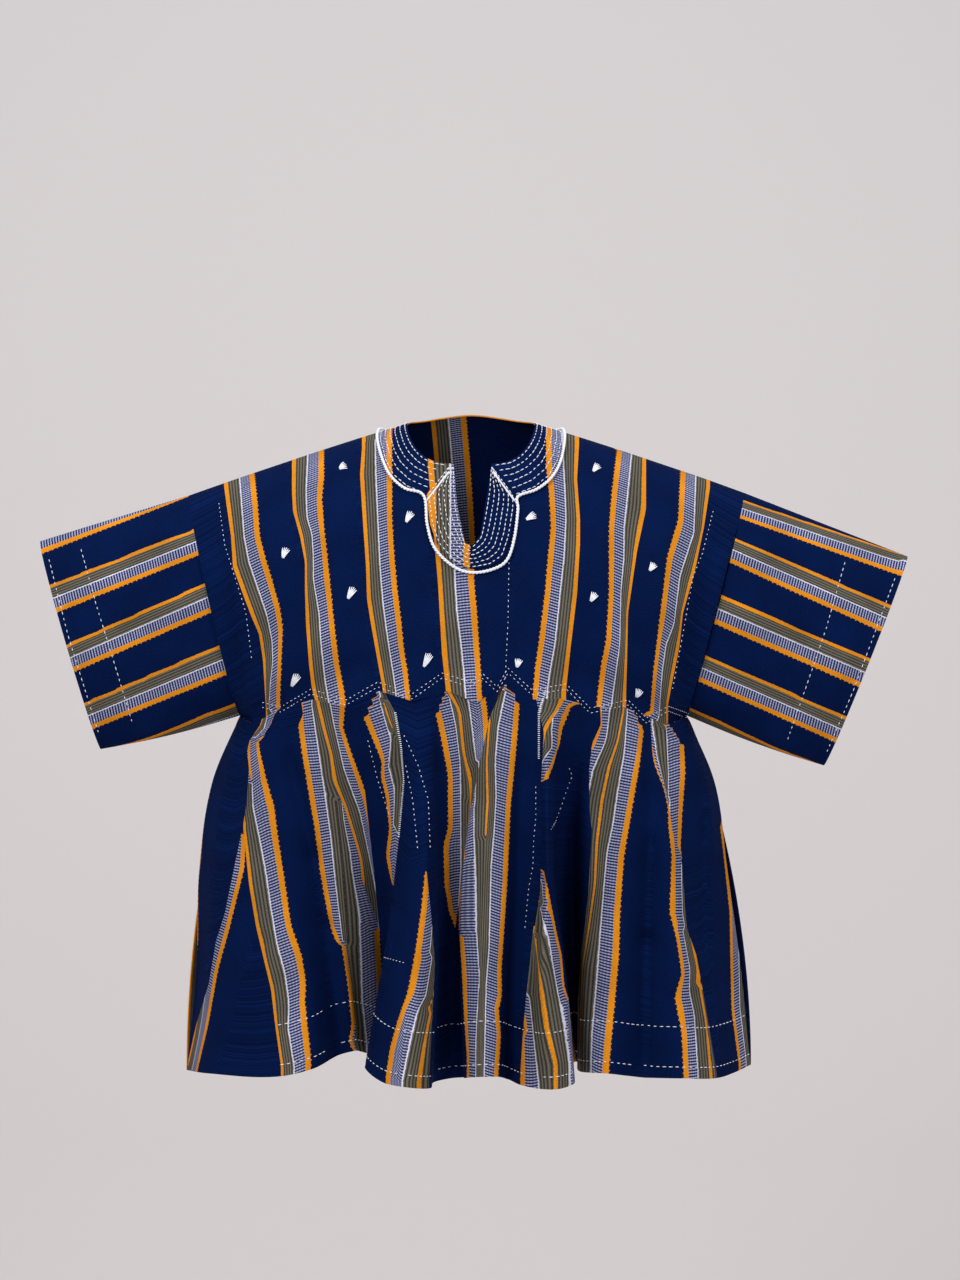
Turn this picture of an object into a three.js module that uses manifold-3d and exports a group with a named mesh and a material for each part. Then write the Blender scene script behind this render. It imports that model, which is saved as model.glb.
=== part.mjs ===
// A fugu smock: a wide T-shaped over-shirt sewn from narrow hand-woven strips, with short
// open sleeves, a slit neck and a skirt of strips and godets that hangs in deep folds.
// Millimetres. +Z up, the front faces -Y, +X is the wearer's left. The origin lies between
// the shoulders at the height of the neck points, where the wearer carries the smock.
import * as THREE from 'three';
import Module from 'manifold-3d';

const wasm = await Module();
wasm.setup();

// ---------------------------------------------------------------- driving sizes
const WALL = 1.6;            // thickness of the hand-woven cotton
const SEAM = 0.3;            // clear distance between sewn pieces
const WAIST_DRAW_BACK = 0.25; // each side of the waist seam, whose zig-zag needs a little more
const NECK_POINT = { x: 72, z: 4 };
const SHOULDER_SLOPE = 0.35;
const NECK_ROUNDING = 60;    // how softly the shoulder line levels out at the neck

// Each half of the body: depth over the chest, the drop at which it is reached, the same
// two at the armhole, and how far the cloth rises behind the neck.
const FRONT = { side: -1, depth: 125, drop: 270, armDepth: 58, armDrop: 120, rise: 0 };
const BACK = { side: 1, depth: 118, drop: 170, armDepth: 58, armDrop: 120, rise: 18 };

// Armholes as seen from the front: top and bottom of the seam. The sleeves: top and bottom
// of the cuff, and how thick the hollow is there.
const ARMS = {
  right: { sign: -1, top: [310, -74], bottom: [254, -316], cuffTop: [474, -124], cuffBottom: [407, -353] },
  left: { sign: 1, top: [300, -71], bottom: [237, -316], cuffTop: [480, -141], cuffBottom: [388, -371] },
};
const ARMHOLE_HALF_DEPTH = 58;
const CUFF_HALF_DEPTH = 34;

// Seams of the body strips. shoulder and waist are the distances from the middle at the two
// ends, waistZ is the height of the waist seam there, midZ is its height halfway to the
// next seam: the waist seam zig-zags round the points of the godets.
const BODY_SEAMS = [
  { shoulder: -310, waist: -254, waistZ: -316, midZ: -320 },
  { shoulder: -270, waist: -236, waistZ: -324, midZ: -306 },
  { shoulder: -190, waist: -170, waistZ: -297, midZ: -303 },
  { shoulder: -114, waist: -97, waistZ: -287, midZ: -298 },
  { shoulder: -38, waist: -25, waistZ: -287, midZ: -299 },
  { shoulder: 40, waist: 37, waistZ: -280, midZ: -296 },
  { shoulder: 117, waist: 96, waistZ: -295, midZ: -304 },
  { shoulder: 188, waist: 167, waistZ: -306, midZ: -315 },
  { shoulder: 261, waist: 211, waistZ: -325, midZ: -321 },
  { shoulder: 300, waist: 237, waistZ: -316, midZ: -316 },
];

// Folds of the front skirt, from the wearer's right. waist is the distance from the middle
// at the waist seam; hip, thigh and knee are the same 387, 486 and 596 mm below the neck;
// hem and hemZ are at the hem; out is how far forward of the shoulders the hem stands.
const FOLD_LEVELS = { hip: -387, thigh: -486, knee: -596 };
const FRONT_FOLDS = [
  { waist: -254, hip: -284, thigh: -299, knee: -302, hem: -313, hemZ: -706, out: 0 },
  { waist: -246, hip: -261, thigh: -273, knee: -277, hem: -282, hemZ: -701, out: 60 },
  { waist: -236, hip: -240, thigh: -240, knee: -218, hem: -204, hemZ: -697, out: 108 },
  { waist: -217, hip: -221, thigh: -203, knee: -178, hem: -169, hemZ: -688, out: 118 },
  { waist: -197, hip: -185, thigh: -169, knee: -151, hem: -140, hemZ: -679, out: 72 },
  { waist: -183, hip: -173, thigh: -158, knee: -133, hem: -124, hemZ: -676, out: 62 },
  { waist: -170, hip: -147, thigh: -137, knee: -128, hem: -118, hemZ: -679, out: 48 },
  { waist: -150, hip: -134, thigh: -118, knee: -104, hem: -101, hemZ: -690, out: 12 },
  { waist: -133, hip: -114, thigh: -104, knee: -95, hem: -95, hemZ: -695, out: -8 },
  { waist: -111, hip: -92, thigh: -87, knee: -86, hem: -90, hemZ: -696, out: 50 },
  { waist: -97, hip: -73, thigh: -80, knee: -97, hem: -113, hemZ: -688, out: 98 },
  { waist: -80, hip: -62, thigh: -64, knee: -77, hem: -90, hemZ: -698, out: 148 },
  { waist: -61, hip: -51, thigh: -47, knee: -58, hem: -65, hemZ: -700, out: 165 },
  { waist: -45, hip: -41, thigh: -38, knee: -38, hem: -44, hemZ: -706, out: 132 },
  { waist: -35, hip: -32, thigh: -31, knee: -32, hem: -37, hemZ: -709, out: 62 },
  { waist: -25, hip: -17, thigh: -19, knee: -21, hem: -20, hemZ: -708, out: 46 },
  { waist: 7, hip: -1, thigh: -7, knee: -8, hem: -4, hemZ: -705, out: 60 },
  { waist: 22, hip: 5, thigh: -9, knee: -11, hem: -7, hemZ: -701, out: 92 },
  { waist: 37, hip: 18, thigh: 16, knee: 11, hem: 9, hemZ: -696, out: 118 },
  { waist: 46, hip: 42, thigh: 37, knee: 31, hem: 29, hemZ: -697, out: 110 },
  { waist: 57, hip: 54, thigh: 49, knee: 44, hem: 41, hemZ: -704, out: 84 },
  { waist: 70, hip: 72, thigh: 73, knee: 63, hem: 53, hemZ: -706, out: 108 },
  { waist: 81, hip: 80, thigh: 81, knee: 76, hem: 89, hemZ: -703, out: 158 },
  { waist: 89, hip: 87, thigh: 87, knee: 99, hem: 109, hemZ: -702, out: 126 },
  { waist: 96, hip: 95, thigh: 93, knee: 101, hem: 103, hemZ: -700, out: 30 },
  { waist: 113, hip: 113, thigh: 109, knee: 113, hem: 116, hemZ: -699, out: -15 },
  { waist: 138, hip: 126, thigh: 124, knee: 119, hem: 116, hemZ: -698, out: 58 },
  { waist: 160, hip: 141, thigh: 134, knee: 124, hem: 121, hemZ: -696, out: 84 },
  { waist: 177, hip: 176, thigh: 159, knee: 153, hem: 144, hemZ: -692, out: 120 },
  { waist: 191, hip: 194, thigh: 191, knee: 188, hem: 186, hemZ: -700, out: 95 },
  { waist: 201, hip: 207, thigh: 214, knee: 221, hem: 226, hemZ: -698, out: 115 },
  { waist: 211, hip: 225, thigh: 230, knee: 244, hem: 263, hemZ: -703, out: 80 },
  { waist: 224, hip: 249, thigh: 257, knee: 270, hem: 285, hemZ: -703, out: 42 },
  { waist: 237, hip: 268, thigh: 283, knee: 298, hem: 308, hemZ: -700, out: 0 },
];
// Which folds are seams of the front skirt.
const FRONT_SEAMS = [0, 2, 4, 6, 8, 10, 12, 15, 18, 20, 22, 24, 27, 29, 31, 33];

// Folds of the back skirt, from the wearer's right: ridges and valleys in turn.
const BACK_FOLDS = [
  { waist: -254, hem: -313, hemZ: -706, out: 0 },
  { waist: -243, hem: -300, hemZ: -704, out: 52 },
  { waist: -222, hem: -270, hemZ: -702, out: 104 },
  { waist: -198, hem: -238, hemZ: -700, out: 92 },
  { waist: -170, hem: -206, hemZ: -701, out: 150 },
  { waist: -141, hem: -166, hemZ: -699, out: 122 },
  { waist: -112, hem: -132, hemZ: -703, out: 184 },
  { waist: -82, hem: -93, hemZ: -700, out: 146 },
  { waist: -53, hem: -62, hemZ: -704, out: 206 },
  { waist: -24, hem: -26, hemZ: -701, out: 160 },
  { waist: 4, hem: 9, hemZ: -705, out: 212 },
  { waist: 33, hem: 42, hemZ: -702, out: 164 },
  { waist: 62, hem: 76, hemZ: -704, out: 200 },
  { waist: 91, hem: 108, hemZ: -700, out: 142 },
  { waist: 120, hem: 145, hemZ: -702, out: 176 },
  { waist: 147, hem: 176, hemZ: -699, out: 118 },
  { waist: 172, hem: 210, hemZ: -700, out: 142 },
  { waist: 194, hem: 240, hemZ: -698, out: 90 },
  { waist: 214, hem: 268, hemZ: -700, out: 98 },
  { waist: 228, hem: 294, hemZ: -700, out: 50 },
  { waist: 237, hem: 308, hemZ: -700, out: 0 },
];
const BACK_SEAMS = [0, 2, 3, 5, 7, 9, 11, 13, 15, 17, 18, 20];

// Neck: the hole seen from above, the slit in the front and the placket round it seen from
// the front (x, z), and the cord that edges the neck band and the placket.
const NECK_HOLE = { halfWidth: 70, front: 78, back: 47, squareness: 3.2 };
const SLIT = [[-18, -30], [-18, -48], [-14, -92], [-6, -131], [2, -133], [10, -122], [16, -86], [22, -48], [22, -30]];
const PLACKET = [
  [-24, -49], [-47, -78], [-43, -110], [-35, -133], [-18, -151], [0, -158],
  [21, -155], [35, -146], [42, -125], [47, -94], [47, -80], [23, -49],
];
const NECK_CORD = [
  [-50, -80], [-46, -111], [-38, -136], [-19, -155], [0, -162], [22, -159], [38, -149], [46, -126], [50, -95],
  [50, -81], [70, -73], [86, -60], [96, -42], [101, -18],
];
const NECK_CORD_BEHIND = { halfWidth: 100, back: 86 };   // its run behind the neck, from above
const NECK_CORD_FRONT_RIGHT = [[-101, -18], [-94, -42], [-85, -59], [-70, -72]];
const CORD_RADIUS = 1.3;

const NAVY = { color: 0x0d2250, roughness: 0.92 };
const KHAKI = { color: 0x6d5c3f, roughness: 0.92 };
const WHITE = { color: 0xe6e6ee, roughness: 0.75 };

// ---------------------------------------------------------------- small helpers
const lerp = (a, b, t) => a + (b - a) * t;
const clamp01 = (t) => Math.min(1, Math.max(0, t));
const armFor = (x) => (x < 0 ? ARMS.right : ARMS.left);

// A smooth value through uneven stations, without overshoot between level neighbours.
function smoothThrough(stations, values, at) {
  let i = 0;
  while (i < stations.length - 2 && at > stations[i + 1]) i += 1;
  const slope = (k) => (values[k + 1] - values[k]) / (stations[k + 1] - stations[k]);
  const tangent = (k) => {
    if (k === 0) return slope(0);
    if (k === stations.length - 1) return slope(k - 1);
    return 0.5 * (slope(k - 1) + slope(k));
  };
  const span = stations[i + 1] - stations[i];
  const t = clamp01((at - stations[i]) / span);
  const a = tangent(i) * span;
  const b = tangent(i + 1) * span;
  const t2 = t * t;
  const t3 = t2 * t;
  return (2 * t3 - 3 * t2 + 1) * values[i] + (t3 - 2 * t2 + t) * a
    + (3 * t2 - 2 * t3) * values[i + 1] + (t3 - t2) * b;
}

// ---------------------------------------------------------------- the body's surface
function shoulderZ(x) {
  const run = Math.hypot(x, NECK_ROUNDING) - Math.hypot(NECK_POINT.x, NECK_ROUNDING);
  return NECK_POINT.z - SHOULDER_SLOPE * run;
}

// Half the width of the body at a height: the armhole line, and below it the hips.
function halfWidth(x, z) {
  const arm = armFor(x);
  const down = (arm.top[1] - z) / (arm.top[1] - arm.bottom[1]);
  if (down <= 1) return lerp(arm.top[0], arm.bottom[0], Math.max(0, down));
  return arm.bottom[0] + 0.6 * (arm.bottom[1] - z);
}

// The outer face of the front or back at a distance x from the middle and a height z.
function bodyPoint(half, x, z) {
  const across = Math.min(1, Math.abs(x) / halfWidth(x, z));
  const square = across * across;
  const arm = armFor(x);
  const middle = (arm.top[1] + arm.bottom[1]) / 2;
  const past = clamp01((middle - z) / (middle - arm.bottom[1]));
  const edge = half.armDepth * Math.sqrt(1 - past * past);
  const depth = Math.sqrt(edge * edge + (half.depth ** 2 - edge * edge) * (1 - square));
  const fullDrop = lerp(half.drop, half.armDrop, square);
  const drop = clamp01((shoulderZ(x) - z) / fullDrop);
  const forward = depth * Math.sqrt(1 - (1 - drop) ** 2);
  const behindNeck = half.rise * Math.exp(-((x / 95) ** 2)) * clamp01(forward / 45) * (1 - drop);
  return new THREE.Vector3(x, half.side * forward, z + behindNeck);
}

// A point of the armhole: t runs from the top (0) to the underarm (1) on one half.
function armholePoint(arm, side, t) {
  const down = (1 - Math.cos(Math.PI * t)) / 2;
  return new THREE.Vector3(
    arm.sign * lerp(arm.top[0], arm.bottom[0], down),
    side * ARMHOLE_HALF_DEPTH * Math.sin(Math.PI * t),
    lerp(arm.top[1], arm.bottom[1], down),
  );
}

// ---------------------------------------------------------------- sheets and walls
// A grid is rows of columns of points. Normals come from the neighbours in the whole
// grid, so that two pieces that meet at a seam share the direction of their edges.
function gridNormals(grid, outward) {
  return grid.map((row, r) => row.map((point, c) => {
    const left = row[Math.max(0, c - 1)];
    const right = row[Math.min(row.length - 1, c + 1)];
    const up = grid[Math.max(0, r - 1)][c];
    const down = grid[Math.min(grid.length - 1, r + 1)][c];
    const normal = right.clone().sub(left).cross(down.clone().sub(up)).normalize();
    if (normal.dot(outward(point)) < 0) normal.negate();
    return normal;
  }));
}

// Turns a normal until it lies in a plane, so that an edge ends flush on that plane.
function flattenNormal(normal, planeNormal) {
  normal.addScaledVector(planeNormal, -normal.dot(planeNormal)).normalize();
}

// A closed wall between two lifts off the outer face, over columns c0 to c1 of a grid.
// Edges that meet a neighbour are drawn back by half a seam.
function wallFromGrid(grid, normals, c0, c1, { outer = 0, inner = -WALL, top, bottom }) {
  const rows = grid.length;
  const cols = c1 - c0 + 1;
  const place = (r, c, lift) => {
    const point = grid[r][c].clone();
    const pull = (r2, c2) => {
      const way = grid[r2][c2].clone().sub(grid[r][c]);
      if (way.length() > 1e-6) point.addScaledVector(way.normalize(), SEAM / 2);
    };
    if (c === c0) pull(r, c + 1);
    if (c === c1) pull(r, c - 1);
    if (r === 0 && top === 'shoulder') pull(1, c);
    if (r === 0 && top === 'waist') point.z -= WAIST_DRAW_BACK;
    if (r === rows - 1 && bottom === 'waist') point.z += WAIST_DRAW_BACK;
    return point.addScaledVector(normals[r][c], lift);
  };
  const points = [];
  for (const lift of [outer, inner]) {
    for (let r = 0; r < rows; r += 1) {
      for (let c = c0; c <= c1; c += 1) points.push(place(r, c, lift));
    }
  }
  const id = (layer, r, c) => layer * rows * cols + r * cols + c;
  const faces = [];
  const quad = (a, b, c, d) => faces.push(a, b, c, a, c, d);
  for (let r = 0; r < rows - 1; r += 1) {
    for (let c = 0; c < cols - 1; c += 1) {
      quad(id(0, r, c), id(0, r, c + 1), id(0, r + 1, c + 1), id(0, r + 1, c));
      quad(id(1, r, c), id(1, r + 1, c), id(1, r + 1, c + 1), id(1, r, c + 1));
    }
    quad(id(0, r, 0), id(0, r + 1, 0), id(1, r + 1, 0), id(1, r, 0));
    quad(id(0, r, cols - 1), id(1, r, cols - 1), id(1, r + 1, cols - 1), id(0, r + 1, cols - 1));
  }
  for (let c = 0; c < cols - 1; c += 1) {
    quad(id(0, 0, c), id(1, 0, c), id(1, 0, c + 1), id(0, 0, c + 1));
    quad(id(0, rows - 1, c), id(0, rows - 1, c + 1), id(1, rows - 1, c + 1), id(1, rows - 1, c));
  }
  return closedGeometry(points, faces);
}

// A geometry from points and faces, turned so that its faces point out.
function closedGeometry(points, faces) {
  let volume = 0;
  for (let i = 0; i < faces.length; i += 3) {
    const [a, b, c] = [points[faces[i]], points[faces[i + 1]], points[faces[i + 2]]];
    volume += a.dot(b.clone().cross(c));
  }
  const index = volume < 0 ? faces.slice().reverse() : faces;
  const geometry = new THREE.BufferGeometry();
  geometry.setAttribute('position', new THREE.Float32BufferAttribute(points.flatMap((p) => p.toArray()), 3));
  geometry.setIndex(index);
  return geometry;
}

function toManifold(geometry) {
  return new wasm.Manifold(new wasm.Mesh({
    numProp: 3,
    vertProperties: new Float32Array(geometry.getAttribute('position').array),
    triVerts: new Uint32Array(geometry.getIndex().array),
  }));
}

function fromManifold(solid) {
  const mesh = solid.getMesh();
  const geometry = new THREE.BufferGeometry();
  geometry.setAttribute('position', new THREE.Float32BufferAttribute(mesh.vertProperties, 3));
  geometry.setIndex(Array.from(mesh.triVerts));
  return geometry;
}

// An upright prism over an outline in two axes: 'xy' stands along Z, 'xz' lies along Y.
function prism(outline, axes, from, to) {
  const count = outline.length;
  const points = [];
  for (const end of [from, to]) {
    for (const [a, b] of outline) {
      points.push(axes === 'xy' ? new THREE.Vector3(a, b, end) : new THREE.Vector3(a, end, b));
    }
  }
  const faces = [];
  for (const [a, b, c] of THREE.ShapeUtils.triangulateShape(outline.map(([a, b]) => new THREE.Vector2(a, b)), [])) {
    faces.push(a, c, b, a + count, b + count, c + count);
  }
  const turned = THREE.ShapeUtils.isClockWise(outline.map(([a, b]) => new THREE.Vector2(a, b)));
  for (let i = 0; i < count; i += 1) {
    const next = (i + 1) % count;
    if (turned) faces.push(i, i + count, next + count, i, next + count, next);
    else faces.push(i, next, next + count, i, next + count, i + count);
  }
  return toManifold(closedGeometry(points, faces));
}

// ---------------------------------------------------------------- body strips
const STRIP_STEPS = 2;       // columns from one seam of the body to the next
const BODY_ROWS = 11;

// The waist seam at column q, counted in strips: straight between its corners.
function waistCorner(q) {
  const i = Math.min(BODY_SEAMS.length - 2, Math.floor(q));
  const [a, b] = [BODY_SEAMS[i], BODY_SEAMS[i + 1]];
  const t = q - i;
  const middle = (a.waist + b.waist) / 2;
  if (t <= 0.5) return { x: lerp(a.waist, middle, 2 * t), z: lerp(a.waistZ, a.midZ, 2 * t) };
  return { x: lerp(middle, b.waist, 2 * t - 1), z: lerp(a.midZ, b.waistZ, 2 * t - 1) };
}

const WAIST_CORNERS = BODY_SEAMS.slice(1).flatMap((_, i) => [waistCorner(i), waistCorner(i + 0.5)]);
WAIST_CORNERS.push(waistCorner(BODY_SEAMS.length - 1));

// The waist seam at a distance x from the middle, straight between its corners.
function waistPoint(half, x) {
  let i = 0;
  while (i < WAIST_CORNERS.length - 2 && x > WAIST_CORNERS[i + 1].x) i += 1;
  const [a, b] = [WAIST_CORNERS[i], WAIST_CORNERS[i + 1]];
  return bodyPoint(half, a.x, a.z).lerp(bodyPoint(half, b.x, b.z), clamp01((x - a.x) / (b.x - a.x)));
}

// Moves the nearest points of the skirt's top edge onto the corners of the waist seam, and
// the others onto the straight lines between them.
function fitToWaist(row, half) {
  for (const corner of WAIST_CORNERS) {
    const nearest = row.reduce((best, p) => (Math.abs(p.x - corner.x) < Math.abs(best.x - corner.x) ? p : best));
    nearest.x = corner.x;
  }
  row.forEach((point) => point.copy(waistPoint(half, point.x)));
}

function bodyGrid(half) {
  const strips = BODY_SEAMS.length - 1;
  const across = Array.from({ length: strips * STRIP_STEPS + 1 }, (_, k) => k / STRIP_STEPS);
  const seamPoint = (q, t) => {
    const i = Math.min(strips - 1, Math.floor(q));
    const corner = waistCorner(q);
    const shoulder = lerp(BODY_SEAMS[i].shoulder, BODY_SEAMS[i + 1].shoulder, q - i);
    const top = shoulderZ(shoulder);
    const down = t ** 1.8;
    return bodyPoint(half, lerp(shoulder, corner.x, down), lerp(top, corner.z, down));
  };
  const grid = [];
  for (let r = 0; r < BODY_ROWS; r += 1) {
    const t = r / (BODY_ROWS - 1);
    grid.push(across.map((q) => {
      if (q === 0) return armholePoint(ARMS.right, half.side, t);
      if (q === strips) return armholePoint(ARMS.left, half.side, t);
      if (q < 1) return armholePoint(ARMS.right, half.side, t).lerp(seamPoint(1, t), q);
      if (q > strips - 1) return seamPoint(strips - 1, t).lerp(armholePoint(ARMS.left, half.side, t), q - strips + 1);
      return seamPoint(q, t);
    }));
  }
  grid[BODY_ROWS - 1].forEach((point) => point.setY(bodyPoint(half, point.x, point.z).y));
  return grid;
}

function bodyNormals(grid, side) {
  const normals = gridNormals(grid, (p) => new THREE.Vector3(p.x * 0.2, p.y, 60 + p.z * 0.2));
  const last = grid[0].length - 1;
  for (const row of normals) {
    flattenNormal(row[0], armPlane(ARMS.right));
    flattenNormal(row[last], armPlane(ARMS.left));
  }
  normals[0].forEach((n) => flattenNormal(n, new THREE.Vector3(0, 1, 0)));
  levelNormals(grid, normals, BODY_ROWS - 1, side);
  return normals;
}

// Level normals along one row, square to the way that the row runs round the body.
function levelNormals(grid, normals, r, side) {
  const row = grid[r];
  row.forEach((point, c) => {
    const atEnd = c === 0 || c === row.length - 1;
    const across = row[Math.min(row.length - 1, c + 1)].clone().sub(row[Math.max(0, c - 1)]);
    normals[r][c].set(-side * across.y, atEnd ? 0 : side * across.x, 0).normalize();
  });
}

// The direction out of an armhole's plane.
function armPlane(arm) {
  const along = new THREE.Vector3(arm.sign * (arm.bottom[0] - arm.top[0]), 0, arm.bottom[1] - arm.top[1]);
  const out = new THREE.Vector3(0, 1, 0).cross(along).normalize();
  return out.x * arm.sign < 0 ? out.negate() : out;
}

// ---------------------------------------------------------------- skirt
const SKIRT_ROWS = 10;
const FOLD_STEPS = 3;        // columns from one fold to the next

function foldPoint(half, fold, t) {
  const top = waistPoint(half, fold.waist);
  const z = lerp(top.z, fold.hemZ, t);
  let x;
  if (fold.hip === undefined) {
    x = lerp(fold.waist, fold.hem, Math.sin(t * Math.PI / 2) ** 0.8);
  } else {
    const heights = [-top.z, -FOLD_LEVELS.hip, -FOLD_LEVELS.thigh, -FOLD_LEVELS.knee, -fold.hemZ];
    x = smoothThrough(heights, [fold.waist, fold.hip, fold.thigh, fold.knee, fold.hem], -z);
  }
  const out = lerp(Math.abs(top.y), fold.out, t ** 0.85);
  return new THREE.Vector3(x, half.side * out, z);
}

function skirtGrid(half, folds) {
  const grid = [];
  for (let r = 0; r < SKIRT_ROWS; r += 1) {
    const corners = folds.map((fold) => foldPoint(half, fold, r / (SKIRT_ROWS - 1)));
    const stations = [0];
    corners.slice(1).forEach((p, i) => stations.push(stations[i] + p.distanceTo(corners[i])));
    const row = [];
    for (let s = 0; s <= (folds.length - 1) * FOLD_STEPS; s += 1) {
      const i = Math.min(folds.length - 2, Math.floor(s / FOLD_STEPS));
      const at = lerp(stations[i], stations[i + 1], s / FOLD_STEPS - i);
      const value = (axis) => smoothThrough(stations, corners.map((p) => p[axis]), at);
      row.push(new THREE.Vector3(value('x'), value('y'), value('z')));
    }
    if (r === 0) fitToWaist(row, half);
    grid.push(row);
  }
  return grid;
}

function skirtNormals(grid, side) {
  const normals = gridNormals(grid, () => new THREE.Vector3(0, side, 0));
  // The wall turns with the folds, so the outward side follows the way round the body.
  normals.forEach((row, r) => row.forEach((n, c) => {
    const left = grid[r][Math.max(0, c - 1)];
    const right = grid[r][Math.min(row.length - 1, c + 1)];
    const across = right.clone().sub(left);
    const out = new THREE.Vector3(-side * across.y, side * across.x, 0);
    if (n.dot(out) < 0) n.negate();
  }));
  for (const row of normals) {
    flattenNormal(row[0], new THREE.Vector3(0, 1, 0));
    flattenNormal(row[row.length - 1], new THREE.Vector3(0, 1, 0));
  }
  levelNormals(grid, normals, 0, side);
  levelNormals(grid, normals, SKIRT_ROWS - 1, side);
  return normals;
}

// ---------------------------------------------------------------- sleeves
const SLEEVE_SIDES = 28;
const SLEEVE_RINGS = 8;

function sleeveGeometry(arm) {
  const start = armPlane(arm).multiplyScalar(SEAM);
  const rings = [];
  for (let r = 0; r < SLEEVE_RINGS; r += 1) {
    const s = r / (SLEEVE_RINGS - 1);
    const at = (from, to) => new THREE.Vector3(arm.sign * lerp(from[0], to[0], s), 0, lerp(from[1], to[1], s));
    const top = at(arm.top, arm.cuffTop);
    const bottom = at(arm.bottom, arm.cuffBottom);
    bottom.z -= 3 * Math.sin(Math.PI * s);
    const middle = top.clone().add(bottom).multiplyScalar(0.5);
    const down = bottom.clone().sub(top).multiplyScalar(0.5);
    const depth = lerp(ARMHOLE_HALF_DEPTH, CUFF_HALF_DEPTH, s);
    const outer = [];
    const inner = [];
    for (let k = 0; k < SLEEVE_SIDES; k += 1) {
      const turn = (2 * Math.PI * k) / SLEEVE_SIDES;
      const out = down.clone().multiplyScalar(-Math.cos(turn) / down.length());
      out.multiplyScalar(depth).add(new THREE.Vector3(0, Math.sin(turn) * down.length(), 0)).normalize();
      const point = middle.clone().addScaledVector(down, -Math.cos(turn));
      point.y += depth * Math.sin(turn);
      point.addScaledVector(start, 1 - s);
      outer.push(point);
      inner.push(point.clone().addScaledVector(out, -WALL));
    }
    rings.push({ outer, inner });
  }
  const points = rings.flatMap((ring) => [...ring.outer, ...ring.inner]);
  const id = (r, layer, k) => (2 * r + layer) * SLEEVE_SIDES + (k % SLEEVE_SIDES);
  const faces = [];
  const quad = (a, b, c, d) => faces.push(a, b, c, a, c, d);
  const last = SLEEVE_RINGS - 1;
  for (let k = 0; k < SLEEVE_SIDES; k += 1) {
    for (let r = 0; r < last; r += 1) {
      quad(id(r, 0, k), id(r + 1, 0, k), id(r + 1, 0, k + 1), id(r, 0, k + 1));
      quad(id(r, 1, k), id(r, 1, k + 1), id(r + 1, 1, k + 1), id(r + 1, 1, k));
    }
    quad(id(0, 0, k), id(0, 0, k + 1), id(0, 1, k + 1), id(0, 1, k));
    quad(id(last, 0, k), id(last, 1, k), id(last, 1, k + 1), id(last, 0, k + 1));
  }
  return closedGeometry(points, faces);
}

// ---------------------------------------------------------------- neck
function neckHolePrism() {
  const outline = [];
  const power = 2 / NECK_HOLE.squareness;
  for (let k = 0; k < 40; k += 1) {
    const turn = (2 * Math.PI * k) / 40;
    const [c, s] = [Math.cos(turn), Math.sin(turn)];
    const reach = s < 0 ? NECK_HOLE.front : NECK_HOLE.back;
    outline.push([
      NECK_HOLE.halfWidth * Math.sign(c) * Math.abs(c) ** power,
      reach * Math.sign(s) * Math.abs(s) ** (s < 0 ? power : 1),
    ]);
  }
  return prism(outline, 'xy', -220, 80);
}

// A round cord along a closed path on the body.
function cordGeometry(path) {
  const curve = new THREE.CatmullRomCurve3(path, true, 'centripetal');
  const steps = 72;
  const sides = 6;
  const points = [];
  for (let i = 0; i < steps; i += 1) {
    const centre = curve.getPointAt(i / steps);
    const along = curve.getTangentAt(i / steps);
    const up = new THREE.Vector3(centre.x * 0.2, centre.y, 90);
    const side = along.clone().cross(up).normalize();
    const lift = side.clone().cross(along).normalize();
    for (let k = 0; k < sides; k += 1) {
      const turn = (2 * Math.PI * k) / sides;
      points.push(centre.clone().addScaledVector(side, CORD_RADIUS * Math.cos(turn))
        .addScaledVector(lift, CORD_RADIUS * Math.sin(turn)));
    }
  }
  const faces = [];
  const id = (i, k) => (i % steps) * sides + (k % sides);
  for (let i = 0; i < steps; i += 1) {
    for (let k = 0; k < sides; k += 1) {
      faces.push(id(i, k), id(i + 1, k), id(i + 1, k + 1), id(i, k), id(i + 1, k + 1), id(i, k + 1));
    }
  }
  return closedGeometry(points, faces);
}

// The outer face moved out by a lift, at a point given from the front.
function liftedPoint(half, x, z, lift) {
  const point = bodyPoint(half, x, z);
  const right = bodyPoint(half, x + 2, z).sub(bodyPoint(half, x - 2, z));
  const down = bodyPoint(half, x, z - 2).sub(bodyPoint(half, x, z + 2));
  const normal = right.cross(down).normalize();
  if (normal.dot(new THREE.Vector3(0, half.side, 0.6)) < 0) normal.negate();
  return point.addScaledVector(normal, lift);
}

function neckCordPath() {
  const lift = CORD_RADIUS + 1.9;
  const path = NECK_CORD.map(([x, z]) => liftedPoint(FRONT, x, z, lift));
  const behind = NECK_CORD_BEHIND;
  for (let k = 0; k <= 8; k += 1) {
    const turn = (Math.PI * k) / 8;
    const x = behind.halfWidth * Math.cos(turn);
    const y = behind.back * Math.sin(turn);
    const reach = Math.min(1, y / BACK.depth);
    const square = Math.min(1, Math.abs(x) / halfWidth(x, 0)) ** 2;
    const drop = lerp(BACK.drop, BACK.armDrop, square) * (1 - Math.sqrt(1 - reach * reach));
    path.push(liftedPoint(BACK, x, shoulderZ(x) - Math.max(drop, 0.5), lift));
  }
  NECK_CORD_FRONT_RIGHT.forEach(([x, z]) => path.push(liftedPoint(FRONT, x, z, lift)));
  return path;
}

// ---------------------------------------------------------------- the smock
const smock = new THREE.Group();

function add(name, geometry, finish) {
  const material = new THREE.MeshStandardMaterial({ ...finish, metalness: 0 });
  const mesh = new THREE.Mesh(geometry, material);
  mesh.name = name;
  smock.add(mesh);
}

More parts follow.
